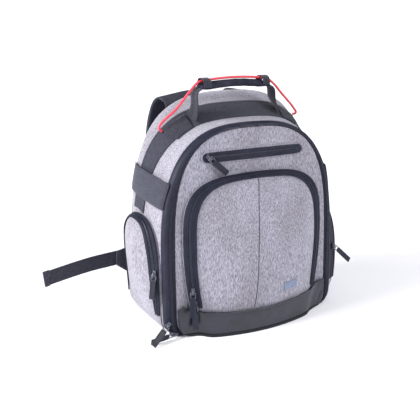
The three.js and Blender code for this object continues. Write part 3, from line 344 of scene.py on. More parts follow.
def lineLength(points):
    return sum((b - a).length for a, b in zip(points, points[1:]))


def spaced(points, pitch):
    # points at an even pitch along a line, with the way it runs
    total = lineLength(points)
    count = max(1, round(total / pitch))
    found = []
    walked, index = 0.0, 0
    for k in range(count + 1):
        target = total * k / count
        while index < len(points) - 2 and walked + (points[index + 1] - points[index]).length < target:
            walked += (points[index + 1] - points[index]).length
            index += 1
        step = points[index + 1] - points[index]
        share = (target - walked) / step.length if step.length else 0
        found.append((points[index] + step * share, step.normalized(), index + share))
    return found


def newPiece(name, vertices, faces, finish, smooth=True):
    mesh = bpy.data.meshes.new(name)
    mesh.from_pydata([tuple(v) for v in vertices], [], faces)
    mesh.materials.append(finishes[finish])
    piece = bpy.data.objects.new(name, mesh)
    scene.collection.objects.link(piece)
    if smooth:
        mesh.shade_smooth()
    return piece


def onlySelect(piece):
    bpy.ops.object.select_all(action="DESELECT")
    piece.select_set(True)
    bpy.context.view_layer.objects.active = piece


def applyModifier(piece, kind, settings):
    modifier = piece.modifiers.new(kind.lower(), kind)
    for key, value in settings.items():
        setattr(modifier, key, value)
    onlySelect(piece)
    bpy.ops.object.modifier_apply(modifier=modifier.name)


def join(pieces, name):
    bpy.ops.object.select_all(action="DESELECT")
    for piece in pieces:
        piece.select_set(True)
    bpy.context.view_layer.objects.active = pieces[0]
    bpy.ops.object.join()
    pieces[0].name = name
    return pieces[0]


def turnOutwards(piece):
    work = bmesh.new()
    work.from_mesh(piece.data)
    bmesh.ops.recalc_face_normals(work, faces=work.faces)
    work.to_mesh(piece.data)
    work.free()


def surfaceOf(pieces):
    vertices, faces = [], []
    for piece in pieces:
        start = len(vertices)
        vertices += [v.co.copy() for v in piece.data.vertices]
        faces += [[start + i for i in polygon.vertices] for polygon in piece.data.polygons]
    return BVHTree.FromPolygons(vertices, faces)


def tubeAlong(name, path, radius, sides, finish):
    # round tube with closed ends and its own map, one unit of the map for each turn round
    vertices, faces = [], []
    normal = (path[1] - path[0]).orthogonal().normalized()
    for i, point in enumerate(path):
        ahead = (path[min(i + 1, len(path) - 1)] - path[max(i - 1, 0)]).normalized()
        normal = (normal - ahead * normal.dot(ahead)).normalized()
        side = ahead.cross(normal)
        for j in range(sides):
            angle = 2 * math.pi * j / sides
            vertices.append(point + (normal * math.cos(angle) + side * math.sin(angle)) * radius)
    for i in range(len(path) - 1):
        for j in range(sides):
            a, b = i * sides + j, i * sides + (j + 1) % sides
            faces.append((a, b, b + sides, a + sides))
    faces.append(tuple(reversed(range(sides))))
    faces.append(tuple(range((len(path) - 1) * sides, len(path) * sides)))
    piece = newPiece(name, vertices, faces, finish)
    layer = piece.data.uv_layers.new(name="along")
    reach = [0.0]
    for a, b in zip(path, path[1:]):
        reach.append(reach[-1] + (b - a).length / (2 * math.pi * radius))
    for polygon in piece.data.polygons:
        ring = sorted(set(i % sides for i in polygon.vertices))
        wraps = len(polygon.vertices) == 4 and ring == [0, sides - 1]
        for loop in polygon.loop_indices:
            vertex = piece.data.loops[loop].vertex_index
            turn = vertex % sides
            if wraps and turn == 0:
                turn = sides
            layer.data[loop].uv = (reach[vertex // sides], turn / sides)
    return piece


def dress(piece, nodes, body=bagBody):
    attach(piece, body)
    if nodes:
        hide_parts(*nodes)
    return piece


# the red cord
redCord = {
    "diameter": 0.004,
    "route": [  # millimetres, sewn in below the left patch, over the handle and down to the right patch
        (-134, 33.5, 323), (-138, 33, 327), (-138, 31.5, 334), (-130, 29, 344), (-118, 26, 355),
        (-108, 23, 367), (-100, 20, 379), (-92, 18, 390), (-84, 16.5, 400), (-77, 16, 405),
        (-68, 16, 406.3), (-57, 16, 407.5), (-44, 16, 408.6), (-28, 16, 409.4), (-12, 16, 409.7),
        (4, 16, 409.4), (20, 16, 408.6), (33, 16, 407.5), (44, 16, 406.3), (53, 16, 404.5),
        (62, 16.5, 399), (72, 17.5, 391), (86, 20, 378), (100, 23, 366), (113, 26, 355),
        (124, 29, 344.5), (129.5, 31, 338), (128, 32.5, 335), (124, 33, 335),
    ],
}
cordLine = smoothLine([Vector(p) * mm for p in redCord["route"]], 8)
cordPiece = tubeAlong("redCord", cordLine, redCord["diameter"] / 2, 12, "cord")
dress(cordPiece, ["red_cord"])
print("cord made, metres:", round(lineLength(cordLine), 3))


# cloth pieces from the frame
def cleanCopy(node, name, finish, joinAngle=30):
    # the node's own form with its loose triangles merged and turned to four-sided faces
    source = frame["nodes"][node].data
    work = bmesh.new()
    work.from_mesh(source)
    bmesh.ops.remove_doubles(work, verts=work.verts, dist=0.00003)
    bmesh.ops.join_triangles(work, faces=work.faces, angle_face_threshold=math.radians(joinAngle),
                             angle_shape_threshold=math.radians(70), cmp_seam=False, cmp_sharp=False,
                             cmp_uvs=False, cmp_vcols=False, cmp_materials=False)
    work.verts.index_update()
    vertices = [v.co.copy() for v in work.verts]
    faces = [[v.index for v in face.verts] for face in work.faces]
    work.free()
    return newPiece(name, vertices, faces, finish)


def setCreases(piece, angle, sharpness):
    work = bmesh.new()
    work.from_mesh(piece.data)
    crease = work.edges.layers.float.get("crease_edge") or work.edges.layers.float.new("crease_edge")
    for edge in work.edges:
        if edge.is_manifold and edge.calc_face_angle(0) > math.radians(angle):
            edge[crease] = sharpness
    work.to_mesh(piece.data)
    work.free()


def smoothStep(value, low, high):
    t = min(1.0, max(0.0, (value - low) / (high - low)))
    return t * t * (3 - 2 * t)


def distanceToSegment(point, a, b):
    along = b - a
    t = min(1.0, max(0.0, (point - a).dot(along) / along.length_squared))
    return (point - (a + along * t)).length, t


def crumple(piece, nodes, softness, folds=()):
    # soft unevenness and named folds along the surface, faded out where another piece lies close
    others = [n for n in frame["nodes"].values() if n.name not in nodes and not n.name.startswith("pull_")]
    near = surfaceOf(others)
    mesh = piece.data
    normals = [v.normal.copy() for v in mesh.vertices]
    height, rate, seed = softness["height"] * mm, softness["rate"], softness.get("seed", 0)
    shift = Vector((seed * 3.1, seed * 7.7, seed * 1.3))
    for vertex, normal in zip(mesh.vertices, normals):
        found = near.find_nearest(vertex.co, 0.03)
        room = found[3] if found[0] is not None else 0.03
        share = smoothStep(room, softness.get("from", 2.5) * mm, softness.get("to", 14) * mm)
        if share <= 0:
            continue
        spot = Vector((vertex.co.x, vertex.co.y, vertex.co.z * softness.get("tall", 0.6))) * rate + shift
        move = height * (noise.noise(spot) + 0.45 * noise.noise(spot * 2.3))
        for fold in folds:
            reach, t = distanceToSegment(vertex.co, Vector(fold["start"]) * mm, Vector(fold["end"]) * mm)
            width = fold["width"] * mm
            if reach < 3 * width:
                swell = math.exp(-((reach / width) ** 2)) * math.sin(math.pi * min(1, 0.15 + t * 0.85))
                move += fold["height"] * mm * swell
        vertex.co += normal * move * share


# levels are steps of subdivision, heights and widths are millimetres, and the softness grows where the room
# to the next piece is between from and to
clothPieces = {
    "main_shell": {"name": "bodyCloth", "finish": "heather", "padded": 0.7,
                   "softness": {"height": 1.5, "rate": 17, "seed": 1}},
    "front_panel": {"name": "frontCloth", "finish": "heather", "levels": 3,
                    "softness": {"height": 1.1, "rate": 22, "seed": 2, "from": 1.5, "to": 12},
                    "folds": [
                        {"start": (-128, -46, 246), "end": (-112, -44, 268), "width": 5, "height": 1.2},
                        {"start": (-140, -50, 205), "end": (-128, -46, 226), "width": 4, "height": -1.2},
                    ]},
    "front_pocket": {"name": "frontPocketCloth", "finish": "heather",
                     "softness": {"height": 1.5, "rate": 15, "seed": 3, "from": 2.5, "to": 18},
                     "folds": [
                         {"start": (62, -112, 60), "end": (92, -92, 120), "width": 9, "height": 1.6},
                         {"start": (-60, -108, 190), "end": (-86, -88, 128), "width": 9, "height": 1.4},
                         {"start": (20, -100, 225), "end": (52, -98, 180), "width": 10, "height": -1.2},
                     ]},
    "main_zip": {"name": "mainZipBand", "finish": "tape",
                 "softness": {"height": 0.5, "rate": 40, "seed": 6, "from": 0.6, "to": 4}},
    "pocket_zip": {"name": "frontPocketZipBand", "finish": "tape"},
    "top_pocket_zip": {"name": "topPocketZipBand", "finish": "tape"},
    "handle_grip": {"name": "handleGrip", "finish": "gripCloth", "padded": 0.8,
                    "softness": {"height": 0.7, "rate": 60, "seed": 7, "from": 1, "to": 5, "tall": 1}},
    "base_guard": {"name": "leatherGuard", "finish": "leather", "levels": 3,
                   "softness": {"height": 0.8, "rate": 26, "seed": 8, "from": 0.8, "to": 3, "tall": 1},
                   "folds": [
                       {"start": (137, -84, 40), "end": (118, -98, 14), "width": 4, "height": 2.2},
                       {"start": (141, -80, 30), "end": (126, -92, 8), "width": 3.2, "height": -2.0},
                       {"start": (-118, -98, 44), "end": (-132, -84, 8), "width": 3.5, "height": 1.3},
                   ]},
    "base_binding": {"name": "baseBinding", "finish": "binding"},
    "centre_band": {"name": "centreBand", "finish": "band"},
}
sideFolds = {
    "left": [
        {"start": (-212, 2, 165), "end": (-216, 10, 110), "width": 5, "height": 1.8},
        {"start": (-205, 26, 120), "end": (-196, 14, 60), "width": 6, "height": -1.6},
    ],
    "right": [],
}
for word, title, step in (("left", "Left", 0), ("right", "Right", 1)):
    for node, name, finish in (
        ("side_zip", "sideZipBand", "tape"), ("wing", "tab", "band"), ("elastic", "elastic", "elastic"),
        ("handle_patch", "handlePatch", "webbing"), ("handle_leg", "handleLeg", "webbing"),
        ("keeper", "keeper", "webbing"), ("lower_webbing", "lowerWebbing", "webbing"),
        ("waist_strap", "waistStrap", "webbing"),
    ):
        clothPieces[f"{node}_{word}"] = {"name": name + title, "finish": finish}
    clothPieces[f"side_pocket_{word}"] = {
        "name": f"sidePocket{title}", "finish": "heather", "folds": sideFolds[word],
        "softness": {"height": 1.6, "rate": 22, "seed": 4 + step},
    }
    clothPieces[f"shoulder_strap_{word}"] = {
        "name": f"shoulderStrap{title}", "finish": "strapCloth", "padded": 0.6,
        "softness": {"height": 0.9, "rate": 30, "seed": 9 + step, "from": 1, "to": 6},
    }


def makeCloth(node, look):
    piece = cleanCopy(node, look["name"], look["finish"])
    setCreases(piece, 48, 0.85)
    levels = look.get("levels", 2)
    applyModifier(piece, "SUBSURF", {"levels": levels, "render_levels": levels})
    if "softness" in look:
        crumple(piece, [node], look["softness"], look.get("folds", ()))
    piece.data.shade_smooth()
    dress(piece, [node])
    return piece


made = {node: makeCloth(node, look) for node, look in clothPieces.items()}
print("cloth pieces made:", len(made))


# padded back with sewn channels
backPad = {
    "channels": (-62, 0, 62), "channelDepth": 3.2, "channelWidth": 5, "crown": 2.0,
    "halfWidth": 118, "bottom": 28, "top": 332, "edge": 22, "columns": 4, "rows": 8,
}


def cutAcross(work, point, normal):
    everything = work.verts[:] + work.edges[:] + work.faces[:]
    bmesh.ops.bisect_plane(work, geom=everything, plane_co=point, plane_no=normal)


def makeBackPad():
    piece = cleanCopy("back_panel", "backPad", "padding")
    setCreases(piece, 70, 0.3)
    applyModifier(piece, "SUBSURF", {"levels": 1, "render_levels": 1, "subdivision_type": "SIMPLE"})
    work = bmesh.new()
    work.from_mesh(piece.data)
    for low, high, step, axis in (
        (-backPad["halfWidth"], backPad["halfWidth"], backPad["columns"], 0),
        (backPad["bottom"] + 2, backPad["top"], backPad["rows"], 2),
    ):
        for k in range(int((high - low) / step) + 1):
            point = Vector((0, 0, 0))
            point[axis] = (low + k * step) * mm
            normal = Vector((0, 0, 0))
            normal[axis] = 1
            cutAcross(work, point, normal)
    work.to_mesh(piece.data)
    work.free()
    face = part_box("back_panel")[1].y
    for vertex in piece.data.vertices:
        if vertex.co.y < face - 0.5 * mm:
            continue
        x, z = vertex.co.x / mm, vertex.co.z / mm
        sink = sum(math.exp(-((x - c) / backPad["channelWidth"]) ** 2) for c in backPad["channels"])
        inside = min(backPad["halfWidth"] - abs(x), z - backPad["bottom"], backPad["top"] - z)
        edge = smoothStep(inside, 0, backPad["edge"])
        vertex.co.y += (backPad["crown"] * edge * (1 - sink) - backPad["channelDepth"] * sink * edge) * mm
    piece.data.shade_smooth()
    dress(piece, ["back_panel"])
    return piece


made["back_panel"] = makeBackPad()
print("back pad made")


# forms of the zips, the same sizes as the part's
form = {
    "halfWidth": 177, "height": 380, "back": 75, "front": 75, "lean": 0.13, "corner": 26, "archFoot": 110,
    "rimHalfWidth": 169, "rimHeight": 343, "panelHalfWidth": 149, "panelHeight": 337, "rimSetBack": 10,
    "panelProud": 3.3, "sidePower": 2.9, "rimPower": 2.8, "panelPower": 3.4, "panelCorner": 22,
    "topZipHeight": 293.3,
}
rimShare = {"width": form["rimHalfWidth"] / form["halfWidth"], "height": form["rimHeight"] / form["height"]}
bodyStations = [
    {"depth": 0.0, "width": rimShare["width"], "height": rimShare["height"], "power": form["rimPower"]},
    {"depth": 0.24, "width": 0.966, "height": 0.908, "power": 2.9},
    {"depth": 0.54, "width": 0.983, "height": 0.95, "power": 3.1},
    {"depth": 0.84, "width": 1.0, "height": 1.0, "power": 3.3},
    {"depth": 0.94, "width": 0.983, "height": 0.996, "power": 3.3},
    {"depth": 1.0, "width": 0.93, "height": 0.975, "power": 3.3},
]
pocketCrown = [
    {"height": 0.0, "depth": 0.83, "side": 0.68}, {"height": 0.19, "depth": 0.9, "side": 0.67},
    {"height": 0.38, "depth": 1.0, "side": 0.7}, {"height": 0.57, "depth": 0.98, "side": 0.6},
    {"height": 0.76, "depth": 0.84, "side": 0.6}, {"height": 0.92, "depth": 0.6, "side": 0.6},
    {"height": 1.0, "depth": 0.47, "side": 0.6},
]


def crownRows(side, depths):
    return [{"height": height, "depth": depth, "side": side} for height, depth in depths]


leftCrown = crownRows(0.45, ((0.0, 0.12), (0.14, 0.3), (0.27, 0.54), (0.4, 0.76), (0.53, 0.92), (0.7, 1.0),
                             (0.85, 0.95), (1.0, 0.64)))
rightCrown = crownRows(0.3, ((0.0, 0.6), (0.14, 0.84), (0.27, 0.96), (0.4, 1.0), (0.53, 0.95), (0.7, 0.82),
                             (0.85, 0.6), (1.0, 0.3)))


def mix(a, b, t):
    return a + (b - a) * t


def tableValue(rows, key, share, column):
    for low, high in zip(rows, rows[1:]):
        if share <= high[key] or high is rows[-1]:
            t = min(1.0, max(0.0, (share - low[key]) / (high[key] - low[key])))
            return mix(low[column], high[column], t)


def frontY(z):
    return -form["front"] + form["lean"] * z


def archPoint(halfWidth, top, power, foot, side, angle):
    across = max(0.0, math.cos(angle)) ** (2 / side)
    return halfWidth * across, foot + (top - foot) * math.sin(angle) ** (2 / power)


def upAndOver(halfWidth, top, corner, power, bottom=0, steps=(9, 12, 52)):
    # outline from the lower right corner over the top to the lower left corner
    right = []
    for k in range(steps[0]):
        angle = math.pi / 2 * mix(1 / 3, 1, k / steps[0])
        right.append((halfWidth - corner + corner * math.sin(angle), bottom + corner * (1 - math.cos(angle))))
    for k in range(steps[1]):
        right.append((halfWidth, mix(bottom + corner, form["archFoot"], k / steps[1])))
    for k in range(steps[2] + 1):
        angle = math.pi / 2 * k / steps[2]
        right.append(archPoint(halfWidth, top, power, form["archFoot"], form["sidePower"], angle))
    return right + [(-x, z) for x, z in reversed(right[:-1])]


rimOutline = upAndOver(form["rimHalfWidth"], form["rimHeight"], form["corner"], form["rimPower"])
panelOutline = upAndOver(form["panelHalfWidth"], form["panelHeight"], form["panelCorner"], form["panelPower"])


def mainZipLine(share, depth):
    # points on the main zip band, between the front panel's edge and the body's rim
    line = []
    for (x, z), (rimX, rimZ) in zip(panelOutline, rimOutline):
        height = mix(z, rimZ, share)
        line.append(Vector((mix(x, rimX, share), frontY(height) + depth, height)))
    return line


def bodySideX(y, z):
    rim = frontY(z) + form["rimSetBack"]
    share = min(1.0, max(0.0, (y - rim) / (form["back"] - rim)))
    halfWidth = form["halfWidth"] * tableValue(bodyStations, "depth", share, "width")
    top = form["height"] * tableValue(bodyStations, "depth", share, "height")
    power = tableValue(bodyStations, "depth", share, "power")
    if z < form["corner"]:
        return halfWidth - form["corner"] + math.sqrt(form["corner"] ** 2 - (form["corner"] - z) ** 2)
    if z < form["archFoot"]:
        return halfWidth
    rise = min(1.0, (z - form["archFoot"]) / (top - form["archFoot"]))
    return halfWidth * (1 - rise ** power) ** (1 / form["sidePower"])


frontPocket = {
    "outer": {"halfWidth": 136, "top": 263, "power": 3.6, "tuck": 0.17},
    "face": {"halfWidth": 116, "top": 257, "power": 3.4, "tuck": 0.17},
    "foot": 150, "base": 0, "tapeFrom": 50.3, "shift": 0, "crown": pocketCrown, "depth": 39, "rimOff": 2,
    "place": lambda a, z, off: Vector((a, frontY(z) - form["panelProud"] - off, z)),
}


sideMiddle = 3


def sidePocket(side, crown, depth):
    def place(a, z, off):
        return Vector((side * (bodySideX(sideMiddle + a, max(0, z)) + off), sideMiddle + a, z))

    return {
        "outer": {"halfWidth": 59, "top": 188, "power": 2.4, "tuck": -0.05},
        "face": {"halfWidth": 42, "top": 182, "power": 2.6, "tuck": -0.3},
        "foot": 105, "base": 9, "tapeFrom": 34, "shift": 17, "crown": crown, "depth": depth, "rimOff": 1.85,
        "place": place,
    }


def pocketEdge(pocket, shape, steps=(14, 34)):
    rise = []
    foot, power = pocket["foot"], shape["power"]
    for k in range(steps[0]):
        z = mix(pocket["tapeFrom"], foot, k / steps[0])
        rise.append((shape["halfWidth"] * (1 - shape["tuck"] * ((foot - z) / foot) ** 2), z))
    for k in range(steps[1] + 1):
        angle = math.pi / 2 * k / steps[1]
        rise.append(archPoint(shape["halfWidth"], shape["top"], power, foot, power, angle))
    points = rise + [(-a, z) for a, z in reversed(rise[:-1])]
    return [(a + pocket["shift"] * (max(0, z) / shape["top"]) ** 2, z) for a, z in points]


def pocketStandOff(pocket, a, z):
    share = (z - pocket["base"]) / (pocket["face"]["top"] - pocket["base"])
    lean = pocket["shift"] * (max(0, z) / pocket["outer"]["top"]) ** 2
    across = min(1.0, abs(a - lean) / pocket["face"]["halfWidth"])
    drop = tableValue(pocket["crown"], "height", share, "side") * across ** 2
    return pocket["depth"] * tableValue(pocket["crown"], "height", share, "depth") * (1 - drop)


def pocketZipLine(pocket, t, lift):
    # points along the sloping band between a pocket's rim and its face, lifted off the band
    line = []
    for (a, z), (b, y) in zip(pocketEdge(pocket, pocket["outer"]), pocketEdge(pocket, pocket["face"])):
        off = pocketStandOff(pocket, b, y)
        spread = math.hypot(a - b, z - y)
        length = math.hypot(spread, off - pocket["rimOff"])
        outward = lift * (off - pocket["rimOff"]) / (length * spread)
        line.append(pocket["place"](mix(a, b, t) + (a - b) * outward, mix(z, y, t) + (z - y) * outward,
                                    mix(pocket["rimOff"], off, t) + lift * spread / length))
    return line


# zip coils
coil = {"pitch": 2.2, "height": 0.9, "share": 0.62, "lift": 0.15}
toothSection = [(-0.5, 0.0), (-0.42, 0.62), (-0.18, 1.0), (0.18, 1.0), (0.42, 0.62), (0.5, 0.0)]


def ribbedLine(name, line, surface, width):
    # a row of low rounded teeth laid on the surface along a line
    vertices, faces = [], []
    count = len(toothSection)
    for point, ahead, _ in spaced([p * mm for p in line], coil["pitch"] * mm):
        spot, out, _, _ = surface.find_nearest(point)
        side = ahead.cross(out).normalized()
        ahead = out.cross(side).normalized()
        half = coil["pitch"] * coil["share"] / 2
        start = len(vertices)
        for end in (-1, 1):
            for across, up in toothSection:
                inset = 0.75 if up > 0.9 else 1.0
                vertices.append(spot + (side * (across * width) + ahead * (end * half * inset)
                                        + out * (coil["lift"] + up * coil["height"])) * mm)
        for k in range(count - 1):
            faces.append((start + k, start + k + 1, start + count + k + 1, start + count + k))
        faces.append((start + count - 1, start, start + count, start + 2 * count - 1))
        faces.append(tuple(start + k for k in reversed(range(count))))
        faces.append(tuple(start + count + k for k in range(count)))
    piece = newPiece(name, vertices, faces, "coil", smooth=False)
    turnOutwards(piece)
    return dress(piece, [])


# stitches and seams
stitch = {"pitch": 4.2, "length": 2.9, "radius": 0.34, "sides": 6}
stitchRings = [
    {"along": -1, "thick": 0.25, "rise": -0.5}, {"along": -0.8, "thick": 0.85, "rise": 0.3},
    {"along": 0, "thick": 1.0, "rise": 0.75}, {"along": 0.8, "thick": 0.85, "rise": 0.3},
    {"along": 1, "thick": 0.25, "rise": -0.5},
]


def sewnLine(name, lines, surface, finish, size=1.0):
    # short raised stitches laid on the surface along each line, points in millimetres
    vertices, faces = [], []
    sides = stitch["sides"]
    for line in lines:
        for point, ahead, _ in spaced([Vector(p) * mm for p in line], stitch["pitch"] * size * mm):
            spot, out, _, _ = surface.find_nearest(point)
            side = ahead.cross(out).normalized()
            ahead = out.cross(side).normalized()
            start = len(vertices)
            reach, radius = stitch["length"] * size / 2 * mm, stitch["radius"] * size * mm
            for ring in stitchRings:
                for j in range(sides):
                    angle = 2 * math.pi * j / sides
                    up = (math.sin(angle) * ring["thick"] + ring["rise"]) * radius
                    vertices.append(spot + ahead * (ring["along"] * reach)
                                    + side * (math.cos(angle) * radius * ring["thick"]) + out * up)
            for ring in range(len(stitchRings) - 1):
                for j in range(sides):
                    a, b = start + ring * sides + j, start + ring * sides + (j + 1) % sides
                    faces.append((a, b, b + sides, a + sides))
            faces.append(tuple(start + j for j in reversed(range(sides))))
            faces.append(tuple(start + (len(stitchRings) - 1) * sides + j for j in range(sides)))
    piece = newPiece(name, vertices, faces, finish)
    turnOutwards(piece)
    return dress(piece, [])


def seamTube(name, line, surface, radius, finish, sink=0.4):
    # piping or a seam line laid on the surface, points in millimetres
    path = []
    for point, ahead, _ in spaced([Vector(p) * mm for p in line], 3 * mm):
        spot, out, _, _ = surface.find_nearest(point)
        path.append(spot + out * radius * (1 - 2 * sink) * mm)
    piece = tubeAlong(name, smoothLine(path, 2), radius * mm, 8, finish)
    return dress(piece, [])


surfaces = {node: surfaceOf([piece]) for node, piece in made.items()}
leftPocket, rightPocket = sidePocket(-1, leftCrown, 25), sidePocket(1, rightCrown, 41)
topZ, pocketLift = form["topZipHeight"], 2.2
for name, line, node, width in (
    ("mainZipCoil", mainZipLine(0.42, -4.5), "main_zip", 4.6),
    ("frontPocketCoil", pocketZipLine(frontPocket, 0.55, pocketLift), "pocket_zip", 4.2),
    ("sideCoilLeft", pocketZipLine(leftPocket, 0.5, pocketLift), "side_zip_left", 3.8),
    ("sideCoilRight", pocketZipLine(rightPocket, 0.5, pocketLift), "side_zip_right", 3.8),
    ("topPocketCoil", [(x, frontY(topZ) - 6.4, topZ) for x in (-86, 0, 86)], "top_pocket_zip", 4.6),
):
    ribbedLine(name, [Vector(p) for p in line], surfaces[node], width)
    print("zip coil made:", name)

topEdges = [[(x, frontY(topZ + up) - 4, topZ + up) for x in (-97, 0, 97)] for up in (-11.8, 11.8)]
sewnLine("mainZipStitches", [mainZipLine(0.12, -3.5), mainZipLine(0.72, -3)], surfaces["main_zip"],
         "darkThread")
for name, pocket, node, shares in (
    ("frontPocketZipStitches", frontPocket, "pocket_zip", (0.18, 0.86)),
    ("sideZipStitchesLeft", leftPocket, "side_zip_left", (0.14, 0.86)),
    ("sideZipStitchesRight", rightPocket, "side_zip_right", (0.14, 0.86)),
):
    edges = [pocketZipLine(pocket, share, pocketLift) for share in shares]
    sewnLine(name, edges, surfaces[node], "darkThread")
sewnLine("topZipStitches", topEdges, surfaces["front_panel"], "greyThread")

# ridges beside the coils, where the tape is folded over them
for name, line, node in (
    ("mainZipRidgeOut", mainZipLine(0.6, -3), "main_zip"),
    ("mainZipRidgeIn", mainZipLine(0.25, -3.8), "main_zip"),
    ("pocketZipRidgeOut", pocketZipLine(frontPocket, 0.36, pocketLift), "pocket_zip"),
    ("pocketZipRidgeIn", pocketZipLine(frontPocket, 0.74, pocketLift), "pocket_zip"),
    ("sideZipRidgeLeft", pocketZipLine(leftPocket, 0.74, pocketLift), "side_zip_left"),
    ("sideZipRidgeRight", pocketZipLine(rightPocket, 0.74, pocketLift), "side_zip_right"),
):
    seamTube(name, line, surfaces[node], 0.75, "tape", 0.45)

# the cloth is turned in round the flat top zip
welt = {"halfLength": 88.5, "radius": 9.3, "steps": 64}
topWelt = []
for k in range(welt["steps"] + 1):
    angle = 2 * math.pi * k / welt["steps"]
    x = math.copysign(welt["halfLength"], math.cos(angle)) + welt["radius"] * math.cos(angle)
    z = topZ + welt["radius"] * math.sin(angle)
    topWelt.append((x, frontY(z) - 4, z))
seamTube("topZipWelt", topWelt, surfaces["front_panel"], 0.85, "heather", 0.35)

# the dart down the middle of the front pocket and the seam of the front panel above it, drawn as a dark tube in
# the thread's colour: painted shade of the seam's groove
dart = smoothLine([
    (-1.5, -62, 256), (-7.6, -83, 203), (-10.3, -92, 167), (-12.8, -99, 134), (-14.4, -104, 98),
    (-16.4, -105, 71), (-19.5, -106, 43),
], 6)
seamTube("pocketSeam", dart, surfaces["front_pocket"], 0.75, "darkThread", 0.6)
print("seams and stitches made")


# guard piping
guardForm = {"middle": 41.5, "side": 50, "sideMargin": 2, "bridgePower": 0.6}


def frontStandOff(column, z):
    # how far the pocket or the panel beside it stands out, the same as the part's
    foot, outer, inner = frontPocket["foot"], frontPocket["outer"], frontPocket["face"]
    narrow = 1 - outer["tuck"] * (max(0, foot - z) / foot) ** 2
    edge, face = outer["halfWidth"] * narrow, inner["halfWidth"] * narrow
    side, place = (1 if column >= 0 else -1), abs(column)
    rise = frontPocket["depth"] * tableValue(pocketCrown, "height", z / inner["top"], "depth")
    drop = tableValue(pocketCrown, "height", z / inner["top"], "side")
    if place <= 1:
        a = place * face
        return side * a, rise * (1 - drop * (a / inner["halfWidth"]) ** 2)
    faceOff = rise * (1 - drop)
    corner = form["panelCorner"]
    under = max(0, corner - z)
    panel = form["panelHalfWidth"] - corner + math.sqrt(corner ** 2 - under ** 2) - guardForm["sideMargin"]
    bridge = max(0, 1 - z / guardForm["side"]) ** guardForm["bridgePower"] if side > 0 else 0
    if place <= 2:
        x = mix(face, edge, place - 1)
        off = mix(faceOff, frontPocket["rimOff"], place - 1)
    else:
        x = mix(edge, panel, place - 2)
        off = mix(frontPocket["rimOff"], 0, place - 2)
    return side * x, mix(off, faceOff * (panel - x) / (panel - face), bridge)


def guardLine(low, lift):
    line = []
    for k in range(97):
        column = -3 + 6 * k / 96
        top = mix(guardForm["middle"], guardForm["side"], min(1, abs(column) / 2) ** 2)
        z = top - low
        x, off = frontStandOff(column, z)
        line.append(Vector((x, frontY(z) - form["panelProud"] - off - lift, z)))
    return line


seamTube("guardPiping", guardLine(0.4, 3.9), surfaces["base_guard"], 1.25, "leather", 0.35)
sewnLine("guardStitches", [guardLine(5.5, 3.9)], surfaces["base_guard"], "darkThread")
print("guard piping made")


# handle stitches, band edges, straps
def patchBox(node, inset=3.2):
    # box and cross on a sewn patch: its corners are found on the patch itself
    low, high = (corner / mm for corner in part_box(node))
    left = low.x < 0
    near = Vector((high.x if left else low.x, 0, high.z))
    far = Vector((low.x if left else high.x, 0, low.z))
    along = (far - near).normalized()
    a, b = near + along * inset, far - along * inset
    front, back = low.y + inset, high.y - inset
    corners = [Vector((p.x, y, p.z + 2)) for p, y in ((a, front), (b, front), (b, back), (a, back))]
    return [corners + corners[:1], [corners[0], corners[2]], [corners[1], corners[3]]]


for word in ("left", "right"):
    sewnLine(f"patchStitches_{word}", patchBox(f"handle_patch_{word}"), surfaces[f"handle_patch_{word}"],
             "darkThread", size=0.8)

gripForm = {"middle": -12, "half": 48, "y": 16, "z": 395.5, "arch": 5, "reach": 65, "depth": 11, "teeth": 40,
            "low": 5.2, "high": 1.6}
zigzag = []
for k in range(gripForm["teeth"] + 1):
    x = gripForm["middle"] - gripForm["half"] + 2 * gripForm["half"] * k / gripForm["teeth"]
    height = gripForm["z"] + gripForm["arch"] * (1 - ((x - gripForm["middle"]) / gripForm["reach"]) ** 2)
    down = gripForm["low"] if k % 2 else gripForm["high"]
    zigzag.append((x, gripForm["y"] - gripForm["depth"], height - down))
sewnLine("gripStitches", [zigzag], surfaces["handle_grip"], "darkThread", size=1.4)


bandForm = {
    "sideY": 17, "topY": -1, "sideWidth": 30, "topWidth": 38, "footAngle": 24, "steps": 40, "inset": 2.6 / 34,
}


def bandEdges():
    # lines along both edges of the centre band, from its foot on one side over the top to the other
    lines = []
    for across in (bandForm["inset"], 1 - bandForm["inset"]):
        line = []
        for side, steps in ((-1, range(bandForm["steps"] + 1)), (1, range(bandForm["steps"] - 1, -1, -1))):
            for k in steps:
                angle = mix(math.radians(bandForm["footAngle"]), math.pi / 2, k / bandForm["steps"])
                turn = math.sin(angle) ** 2
                y = mix(bandForm["sideY"], bandForm["topY"], turn)
                y += mix(bandForm["sideWidth"], bandForm["topWidth"], turn) * across
                share = 0.5
                for _ in range(6):
                    halfWidth = form["halfWidth"] * tableValue(bodyStations, "depth", share, "width")
                    top = form["height"] * tableValue(bodyStations, "depth", share, "height")
                    power = tableValue(bodyStations, "depth", share, "power")
                    x, z = archPoint(halfWidth, top, power, form["archFoot"], form["sidePower"], angle)
                    rim = frontY(z) + form["rimSetBack"]
                    share = min(1.0, max(0.0, (y - rim) / (form["back"] - rim)))
                line.append(Vector((side * (x + 1.6), y, z + 1)))
        lines.append(line)
    return lines


sewnLine("centreBandStitches", bandEdges(), surfaces["centre_band"], "darkThread")


def elasticEnds(side):
    # bar tacks where each elastic band is sewn down
    lines = []
    for y, z in ((-37.5, 218.5), (-35.5, 218.5), (61.5, 226), (59.5, 226)):
        lines.append([Vector((side * (bodySideX(y, z + up) + 3), y, z + up)) for up in (3, 15, 27, 39, 45)])
    return lines


strapBox = {"x": 191, "y": 83, "half": 4, "low": 79, "high": 97}


def strapEnds(side):
    # box stitch where the waist strap lies on the tab
    x, y, half, low, high = (strapBox[key] for key in ("x", "y", "half", "low", "high"))
    a, b, c, d = ((side * x + i * half, y, z) for i, z in ((-1, low), (1, low), (1, high), (-1, high)))
    return [[a, b, c, d, a], [a, c], [d, b]]


